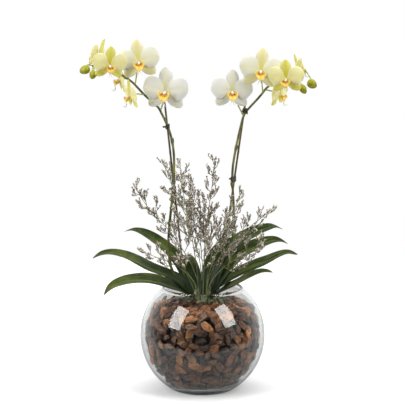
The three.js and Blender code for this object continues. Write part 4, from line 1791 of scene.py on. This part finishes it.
@dataclass
class FlowerStem:
    """An arching flower stem with its joints, bracts and the stalks of its flowers."""

    side: str
    poses: list[FlowerPose]
    count: int = 150
    stalk_radius: float = 1.15 * MM
    set_back: float = 16 * MM  # how far along the stem a stalk leaves before its flower
    joint_shares: tuple[float, ...] = (0.16, 0.3, 0.45, 0.59)

    def __post_init__(self) -> None:
        """Follow the CAD stem."""
        root = crown_top(self.side) - UP * 12 * MM
        self.line = middle_line(f"{self.side}_flower_stem", root, 3 * MM, 4.5 * MM, self.count)
        radii = self.line[:, 3]
        third = self.count // 3
        low, high = np.median(radii[5:third]), np.median(radii[-third:])
        self.radii = np.linspace(low, high, self.count) * 1.02

    def _stalk(self, pose: FlowerPose) -> np.ndarray:
        """The line of a flower's stalk, which meets the flower from behind.

        Args:
            pose: the flower's place.

        Returns:
            The line.
        """
        path = self.line[:, :3]
        nearest = np.linalg.norm(path - pose.heart, axis=1).argmin()
        step = np.linalg.norm(path[1] - path[0])
        start = path[max(0, nearest - int(round(self.set_back / step)))]
        approach = pose.heart + pose.back * 12 * MM
        end = pose.heart + pose.back * 0.6 * MM
        return curve_through([start, start + (approach - start) * 0.6, approach, end], 24)

    def build(self) -> None:
        """Grow the stem with its joints, and the paler stalks."""
        path = self.line[:, :3]
        stem = Limbs()
        share = np.linspace(0.0, 1.0, self.count)
        stem.add(path, self.radii * (1.0 - 0.3 * (share > 0.995)))
        joints = [int(self.count * s) for s in self.joint_shares]
        for at in joints:
            swell = path[at - 2 : at + 3]
            stem.add(swell, self.radii[at] * np.array((1.0, 1.22, 1.3, 1.16, 1.0)))
        stand_for(stem.make(f"{self.side}_stem", STEM, 12), "flower_stem", f"{self.side}_flower_stem")
        stalks = Limbs()
        for pose in self.poses:
            line = self._stalk(pose)
            along = np.linspace(0.0, 1.0, len(line))
            stalks.add(line, self.stalk_radius * (1.0 + 0.35 * along**6))
        for bud in parts_named(f"{self.side}_bud_"):
            line = self._bud_stalk(bud)
            stalks.add(line, self.stalk_radius * 0.9)
        stand_for(stalks.make(f"{self.side}_stalks", STALK, 10), "flower_stem")
        self._bracts(joints)

    def _bud_stalk(self, bud: str) -> np.ndarray:
        """The line of a bud's stalk, in a low arch over from the stem's end.

        Args:
            bud: name of the bud's node.

        Returns:
            The line.
        """
        low, high = (np.array(corner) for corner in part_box(bud))
        middle = (low + high) / 2.0
        nearest = np.linalg.norm(self.line[:, :3] - middle, axis=1).argmin()
        start = self.line[nearest, :3]
        end = middle + UP * (high - low)[2] * 0.3
        arch = (start + end) / 2.0 + UP * 0.22 * np.linalg.norm(end - start)
        return curve_through([start, arch, end], 16)

    def _bracts(self, places: Sequence[int]) -> None:
        """A small dry sheath at each joint.

        Args:
            places: numbers of the stem's points at its joints.
        """
        shape = Shape()
        path = self.line[:, :3]
        for turn, at in enumerate(places):
            along = unit(path[at + 2] - path[at - 2])
            aside = unit(np.cross(along, FRONT)) * (1.0 if turn % 2 else -1.0)
            reach = self.radii[at] * 1.25
            base = path[at] + aside * reach * 0.7
            tip = base + along * 6 * MM + aside * 1.4 * MM
            points = [base - along * 3 * MM, base + aside * 1.1 * MM, tip]
            rest = {"lift": lambda s, v, h: -0.5 * h * s**2, "thickness": 0.7 * MM, "columns": 6}
            Blade.along(points, aside, Outline(2.6 * MM, 0.35, 0.8, rows=10), **rest).into(shape)
        stand_for(shape.make(f"{self.side}_bracts", CANE), "flower_stem")


@dataclass
class Stake:
    """A dark cane that holds a flower stem up."""

    side: str

    def ends(self) -> tuple[np.ndarray, np.ndarray, float]:
        """The two ends of the cane and its radius.

        Returns:
            The low end, the high end and the radius.
        """
        points = corners_of(f"{self.side}_stake").reshape(-1, 3)
        low = points[points[:, 2] < points[:, 2].min() + 1 * MM]
        high = points[points[:, 2] > points[:, 2].max() - 1 * MM]
        return low.mean(axis=0), high.mean(axis=0), np.ptp(low[:, 1]) / 2.0

    def build(self) -> None:
        """Grow the cane with its faint joints and a rounded top."""
        low, high, radius = self.ends()
        line = np.linspace(low, high, 90)
        radii = np.full(90, radius)
        radii[::18] *= 1.12
        radii[-1] *= 0.55
        limb = Limbs()
        limb.add(line, radii)
        stand_for(limb.make(f"{self.side}_cane", CANE, 12), "stake", f"{self.side}_stake")


@dataclass
class Tie:
    """A few turns of covered wire round stem and cane, with its ends twisted together."""

    node: str
    stem: FlowerStem
    turns: float = 5.5
    wire: float = 0.8 * MM

    def build(self) -> None:
        """Wind the wire on an oval round both, then twist its ends."""
        low, high = (np.array(corner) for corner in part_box(self.node))
        middle = (low + high) / 2.0
        cane_low, cane_high, cane_radius = Stake(self.stem.side).ends()
        share = (middle[2] - cane_low[2]) / (cane_high[2] - cane_low[2])
        cane = cane_low + (cane_high - cane_low) * share
        path = self.stem.line[:, :3]
        nearest = np.abs(path[:, 2] - middle[2]).argmin()
        stem = path[nearest]
        long_way = unit(stem - cane)
        long_way[2] = 0.0
        short_way = np.cross(UP, unit(long_way))
        long_half = np.linalg.norm(stem - cane) / 2.0 + max(self.stem.radii[nearest], cane_radius) + self.wire
        short_half = max(self.stem.radii[nearest], cane_radius) + self.wire
        angle = np.linspace(0.0, math.tau * self.turns, 140)
        climb = np.linspace(low[2] + self.wire, high[2] - self.wire, 140)
        centre = (stem + cane) / 2.0
        wound = centre + long_half * np.cos(angle)[:, None] * unit(long_way)
        wound = wound + short_half * np.sin(angle)[:, None] * short_way
        wound[:, 2] = climb
        limb = Limbs()
        limb.add(wound, self.wire)
        for phase in (0.0, math.pi):
            twist = np.linspace(0.0, 1.0, 24)
            spin = twist * 4.0 * math.pi + phase
            out = centre - short_way * (short_half + twist[:, None] * 5 * MM) + UP * (middle[2] - centre[2])
            coil = np.stack((np.cos(spin), np.sin(spin)), axis=1) * self.wire
            limb.add(out + coil[:, :1] * unit(long_way) + coil[:, 1:] * UP, self.wire * 0.9)
        stand_for(limb.make(self.node.replace("_tie_", "_wire_"), WIRE, 8), "tie", self.node)


@dataclass
class Bud:
    """A closed bud: an egg with three soft ridges."""

    node: str
    stem: FlowerStem

    def build(self) -> None:
        """Turn the egg on its CAD solid's long axis, blunt end on the stalk."""
        triangles = corners_of(self.node)
        _, _, middle, axes = skin_axes(triangles)
        tip = axes[:, 2]
        away = middle - self.stem.line[-1, :3]
        tip = tip if tip @ (away - UP * np.linalg.norm(away) * 0.6) > 0.0 else -tip
        points = triangles.reshape(-1, 3) - middle
        half = np.ptp(points @ tip) / 2.0
        radius = np.linalg.norm(points - np.outer(points @ tip, tip), axis=1).max()
        aside = unit(np.cross(tip, FRONT))
        across = np.cross(tip, aside)
        angle = np.linspace(-math.pi / 2, math.pi / 2, 18)
        own = Shape()
        pear = np.cos(angle) * (1.0 - 0.16 * np.sin(angle)) * radius
        profile = np.stack((pear, np.sin(angle) * half), axis=1)
        profile[[0, -1], 0] = 0.0
        lathe_into(own, profile, 30)
        x, y, z = np.concatenate(own.points).T
        ridge = 1.0 + 0.035 * np.cos(3.0 * np.arctan2(y, x))
        placed = middle + (x * ridge)[:, None] * aside + (y * ridge)[:, None] * across + z[:, None] * tip
        shape = Shape()
        shape.add(placed, own.faces, np.concatenate(own.uvs))
        stand_for(shape.make(self.node.replace("_bud_", "_closed_bud_"), BUD), "bud", self.node)


@dataclass
class Sprig:
    """A sprig of sea lavender: a wiry stem that forks into one-sided combs of small flowers."""

    node: str
    number: int
    spacing: float = 8.5 * MM  # from branch to branch
    first: float = 0.46  # share of the stem where the lowest branch may leave
    bare_below: float = 205 * MM  # no branch leaves the stem under this level
    twig: float = 0.42 * MM
    comb_step: float = 1.6 * MM

    def __post_init__(self) -> None:
        """Follow the CAD stem and open the lists that the growing fills."""
        points = corners_of(self.node).reshape(-1, 3)
        root = points[points[:, 2] < points[:, 2].min() + 0.5 * MM].mean(axis=0)
        self.line = middle_line(self.node, root, 3 * MM, 2.6 * MM, 90)[:, :3]
        self.length = length_of(self.line)
        self.chance = np.random.default_rng(100 + self.number)
        self.twigs = Limbs()
        self.spots: list[np.ndarray] = []
        self.ways: list[np.ndarray] = []

    def _comb(self, line: np.ndarray, start: float) -> None:
        """Set small flowers along the upper side of a twig.

        Args:
            line: the twig.
            start: share of the twig where the flowers begin.
        """
        count = max(3, int(length_of(line) * (1.0 - start) / self.comb_step))
        along = tangents(line)
        for share in np.linspace(start, 1.0, count):
            at = int(round(share * (len(line) - 1)))
            aside = self.chance.normal(0.0, 0.35, size=3)
            way = unit(along[at] * 0.75 + UP * 0.9 + aside)
            self.spots.append(line[at] + way * 0.3 * MM)
            self.ways.append(way)

    @staticmethod
    def _twig(
        start: np.ndarray, along: np.ndarray, aside: np.ndarray, length: float, bend: float
    ) -> np.ndarray:
        """A twig that leaves sideways and curves upwards.

        Args:
            start: where it leaves.
            along: the way its parent goes.
            aside: the way it leaves its parent.
            length: how long it is.
            bend: how far it leans out.

        Returns:
            Its line.
        """
        out = unit(along * (1.0 - bend) + aside * bend)
        rise = unit(out * 0.65 + UP * 0.45 + along * 0.2)
        end = start + out * length * 0.5 + rise * length * 0.5
        return curve_through([start, start + out * length * 0.45, end], 10)

    def _grow(self) -> None:
        """Fork the stem into branches, and each branch into twigs with combs."""
        along = tangents(self.line)
        share = np.linspace(0.0, 1.0, len(self.line))
        self.twigs.add(self.line, (0.95 - 0.55 * share) * MM)
        reach = min(0.22 * self.length, 40 * MM)
        first = max(self.first, share[np.abs(self.line[:, 2] - self.bare_below).argmin()])
        branches = max(5, int(self.length * (0.97 - first) / self.spacing))
        for number in range(branches):
            place = first + (0.97 - first) * number / (branches - 1)
            at = int(place * (len(self.line) - 1))
            turn = number * GOLDEN_ANGLE + self.chance.normal(0.0, 0.3)
            right = unit(np.cross(along[at], FRONT))
            aside = right * math.cos(turn) + np.cross(along[at], right) * math.sin(turn)
            length = reach * (1.08 - 0.75 * (place - first) / (1.0 - first)) * self.chance.uniform(0.75, 1.1)
            branch = self._twig(self.line[at], along[at], aside, length, self.chance.uniform(0.42, 0.62))
            self.twigs.add(branch, np.linspace(0.6, 0.35, len(branch)) * MM)
            self._fork(branch, length)
        self._comb(self.line, 0.9)

    def _fork(self, branch: np.ndarray, length: float) -> None:
        """Set twigs with combs on alternate sides of a branch.

        Args:
            branch: the branch's line.
            length: how long it is.
        """
        along = tangents(branch)
        forks = max(3, int(length / (4.2 * MM)))
        for number in range(forks):
            at = int((0.3 + 0.7 * number / forks) * (len(branch) - 1))
            aside = unit(np.cross(along[at], unit(self.chance.normal(0.0, 1.0, size=3))))
            twig_length = self.chance.uniform(6.0, 11.0) * MM
            twig = self._twig(branch[at], along[at], aside, twig_length, self.chance.uniform(0.35, 0.6))
            self.twigs.add(twig, self.twig * 0.7)
            self._comb(twig, 0.35)
        self._comb(branch, 0.72)

    @staticmethod
    @lru_cache(maxsize=None)
    def _floret() -> bpy.types.Object:
        """One small flower: a papery funnel.

        Returns:
            The flower.
        """
        sides = 6
        rings = [(0.3, 0.0), (0.6, 1.6), (1.25, 3.1), (0.55, 2.5)]
        points = [(0.0, 0.0, -0.1)]
        for radius, height in rings:
            for j in range(sides):
                turn = math.tau * j / sides
                points.append((radius * math.cos(turn), radius * math.sin(turn), height))
        points.append((0.0, 0.0, 2.2))
        faces = [[0, 1 + (j + 1) % sides, 1 + j] for j in range(sides)]
        faces += bands(len(rings), sides, 1)
        last = len(points) - 1
        faces += [[last, last - sides + j, last - sides + (j + 1) % sides] for j in range(sides)]
        mesh = bpy.data.meshes.new("floret")
        mesh.from_pydata((np.array(points) * MM).tolist(), [], faces)
        height = mesh.attributes.new("mouth", "FLOAT", "POINT")
        height.data.foreach_set("value", [p[2] / 3.1 for p in points])
        return bpy.data.objects.new("floret", mesh)

    @staticmethod
    @lru_cache(maxsize=None)
    def _tree() -> bpy.types.NodeTree:
        """The recipe that sets a small flower on every point, looking the way the point says.

        Returns:
            The tree.
        """
        recipe = Recipe("combs_of_florets")
        floret = recipe.given("Floret", "Object")
        seed = recipe.given("Seed", "Int")
        finish = recipe.given("Finish", "Material")
        way = recipe.attribute("way", "FLOAT_VECTOR")
        looking = recipe.value("FunctionNodeAlignRotationToVector", {"axis": "Z"}, {"Vector": way})
        looking = recipe.turned(looking, (0.0, 0.0, 1.0), recipe.chance(0.0, math.tau, seed))
        given = {"Object": floret, "As Instance": True}
        shape = recipe.value("GeometryNodeObjectInfo", None, given, "Geometry")
        inputs = {"Points": recipe.start.outputs["Geometry"], "Instance": shape, "Rotation": looking}
        inputs["Scale"] = recipe.chance(0.9, 1.45, seed + 1.0)
        placed = recipe.value("GeometryNodeInstanceOnPoints", None, inputs)
        recipe.result(recipe.toned(placed, seed + 2.0), finish)
        return recipe.tree

    def build(self) -> None:
        """Grow the twigs, then set the flowers on them."""
        self._grow()
        name = self.node.replace("sea_lavender", "sprig")
        stand_for(self.twigs.make(name, TWIG, 5), "sea_lavender", self.node)
        points = bpy.data.meshes.new(name + "_spots")
        points.from_pydata(np.array(self.spots).tolist(), [], [])
        ways = points.attributes.new("way", "FLOAT_VECTOR", "POINT")
        ways.data.foreach_set("vector", np.array(self.ways, dtype=np.float32).ravel())
        inputs = {"Floret": self._floret(), "Seed": self.number, "Finish": material_of(FLORET)}
        stand_for(grow(self._tree(), points, name + "_florets", inputs), "sea_lavender")


# ---------------------------------------------------------------- the studio


@dataclass
class Studio:
    """A white table, two soft boxes and a camera in front."""

    camera_distance: float = 2.4
    camera_height: float = 0.642
    camera_dip: float = 8.06  # degrees
    lens: float = 135.7
    box_distance: float = 1.5
    box_size: tuple[float, float] = (0.65, 1.0)
    box_power: float = 15.5
    sky_size: float = 0.9
    sky_height: float = 1.75
    sky_power: float = 15.0
    fill_power: float = 4.0
    fill_size: float = 1.2
    fill_offset: tuple[float, float, float] = (0.0, -1.7, 0.75)
    box_ways: tuple = (("left", (-0.678, -0.46, 0.571)), ("right", (0.644, -0.432, 0.629)))
    table_half_width: float = 0.54
    table_front: float = 0.3
    table_back: float = 1.2

    def _camera(self) -> None:
        """A long lens a little above the bowl."""
        camera = link(bpy.data.objects.new("camera", bpy.data.cameras.new("camera")))
        camera.data.lens = self.lens
        camera.data.sensor_width = 36.0
        camera.location = (0.0, -self.camera_distance, self.camera_height)
        camera.rotation_euler = (math.radians(90.0 - self.camera_dip), 0.0, 0.0)
        bpy.context.scene.camera = camera

    @staticmethod
    def _soft_box(
        name: str, place: Vector, target: Vector, size: tuple[float, float], power: float
    ) -> bpy.types.Object:
        """A soft box, turned to what it lights.

        Args:
            name: its name.
            place: where it stands.
            target: what it lights.
            size: its two sides.
            power: its power in watts.

        Returns:
            The lamp.
        """
        light = bpy.data.lights.new(name, "AREA")
        light.shape = "RECTANGLE"
        light.size, light.size_y = size
        light.energy = power
        lamp = link(bpy.data.objects.new(name, light))
        lamp.location = place
        lamp.rotation_euler = (place - target).to_track_quat("Z", "Y").to_euler()
        return lamp

    def _table(self) -> None:
        """The white table that the bowl stands on."""
        half, front, back, deep = self.table_half_width, -self.table_front, self.table_back, -0.03
        corners = [(-half, front), (half, front), (half, back), (-half, back)]
        points = [(x, y, z) for z in (deep, 0.0) for x, y in corners]
        faces = [(3, 2, 1, 0), (4, 5, 6, 7), (0, 1, 5, 4), (1, 2, 6, 5), (2, 3, 7, 6), (3, 0, 4, 7)]
        mesh = bpy.data.meshes.new("table")
        mesh.from_pydata(points, [], faces)
        mesh.materials.append(material_of(FLOOR))
        table = link(bpy.data.objects.new("table", mesh))

    def _backdrop(self) -> None:
        """A white room to look at, which is dark in front for all that surfaces mirror."""
        world = bpy.data.worlds.new("room")
        world.use_nodes = True
        world.node_tree.nodes.clear()
        sheet = Sheet(world.node_tree)
        path = sheet.node("ShaderNodeLightPath")
        clear = 1.0 - Value(sheet, path.outputs["Glossy Depth"]).band(0.0, 1.0)
        passing = Value(sheet, path.outputs["Is Transmission Ray"]) * clear
        way = sheet.value("ShaderNodeTexCoord", None, None, "Generated")
        ahead = sheet.value("ShaderNodeSeparateXYZ", None, {0: way}, "Y")
        behind = ahead.band(-0.2, 0.6) * 0.97 + 0.03
        bent = ahead.band(0.7, 0.99) * 0.85 + 0.15
        strength = behind + passing * (bent - behind)
        strength = strength + Value(sheet, path.outputs["Is Camera Ray"]) * (1.0 - strength)
        inputs = {"Color": (1.0, 1.0, 1.0, 1.0), "Strength": strength}
        back = sheet.value("ShaderNodeBackground", None, inputs)
        sheet.node("ShaderNodeOutputWorld", None, {"Surface": back})
        bpy.context.scene.world = world

    def build(self) -> None:
        """Set up the table, the room, the lights and the camera."""
        low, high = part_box("glass_bowl")
        target = (low + high) / 2.0
        self._table()
        self._backdrop()
        for name, way in self.box_ways:
            place = target + Vector(way).normalized() * self.box_distance
            self._soft_box(f"soft_box_{name}", place, target, self.box_size, self.box_power)
        sky = Vector((0.0, 0.0, self.sky_height))
        above = self._soft_box("soft_box_above", sky, target, (self.sky_size, self.sky_size), self.sky_power)
        front = target + Vector(self.fill_offset)
        fill = self._soft_box("soft_fill", front, target, (self.fill_size, self.fill_size), self.fill_power)
        for lamp in (above, fill):
            lamp.visible_glossy = False
            lamp.visible_transmission = False
        self._camera()
        bpy.context.scene.view_settings.view_transform = "Standard"


def main() -> None:
    """Build every piece of the planting, and then the studio."""
    logging.basicConfig(level=logging.INFO, format="%(message)s")
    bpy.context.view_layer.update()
    bowl = GlassBowl()
    bowl.build()
    bed = BarkBed(bowl)
    bed.build()
    for side in ("left", "right"):
        Crown(side, bed).build()
        Stake(side).build()
        count = len(parts_named(f"{side}_flower_", "_petals"))
        poses = [FlowerPose(side, number) for number in range(1, count + 1)]
        stem = FlowerStem(side, poses)
        stem.build()
        for pose in poses:
            Flower(pose, *FLOWER_FINISHES[min(pose.number, 3)]).build()
        for node in parts_named(f"{side}_tie_"):
            Tie(node, stem).build()
        for node in parts_named(f"{side}_bud_"):
            Bud(node, stem).build()
        for node in parts_named(f"{side}_leaf_"):
            Leaf(node).build()
    for number, node in enumerate(parts_named("sea_lavender_"), start=1):
        Sprig(node, number).build()
    Studio().build()


if __name__ == "__main__":
    main()
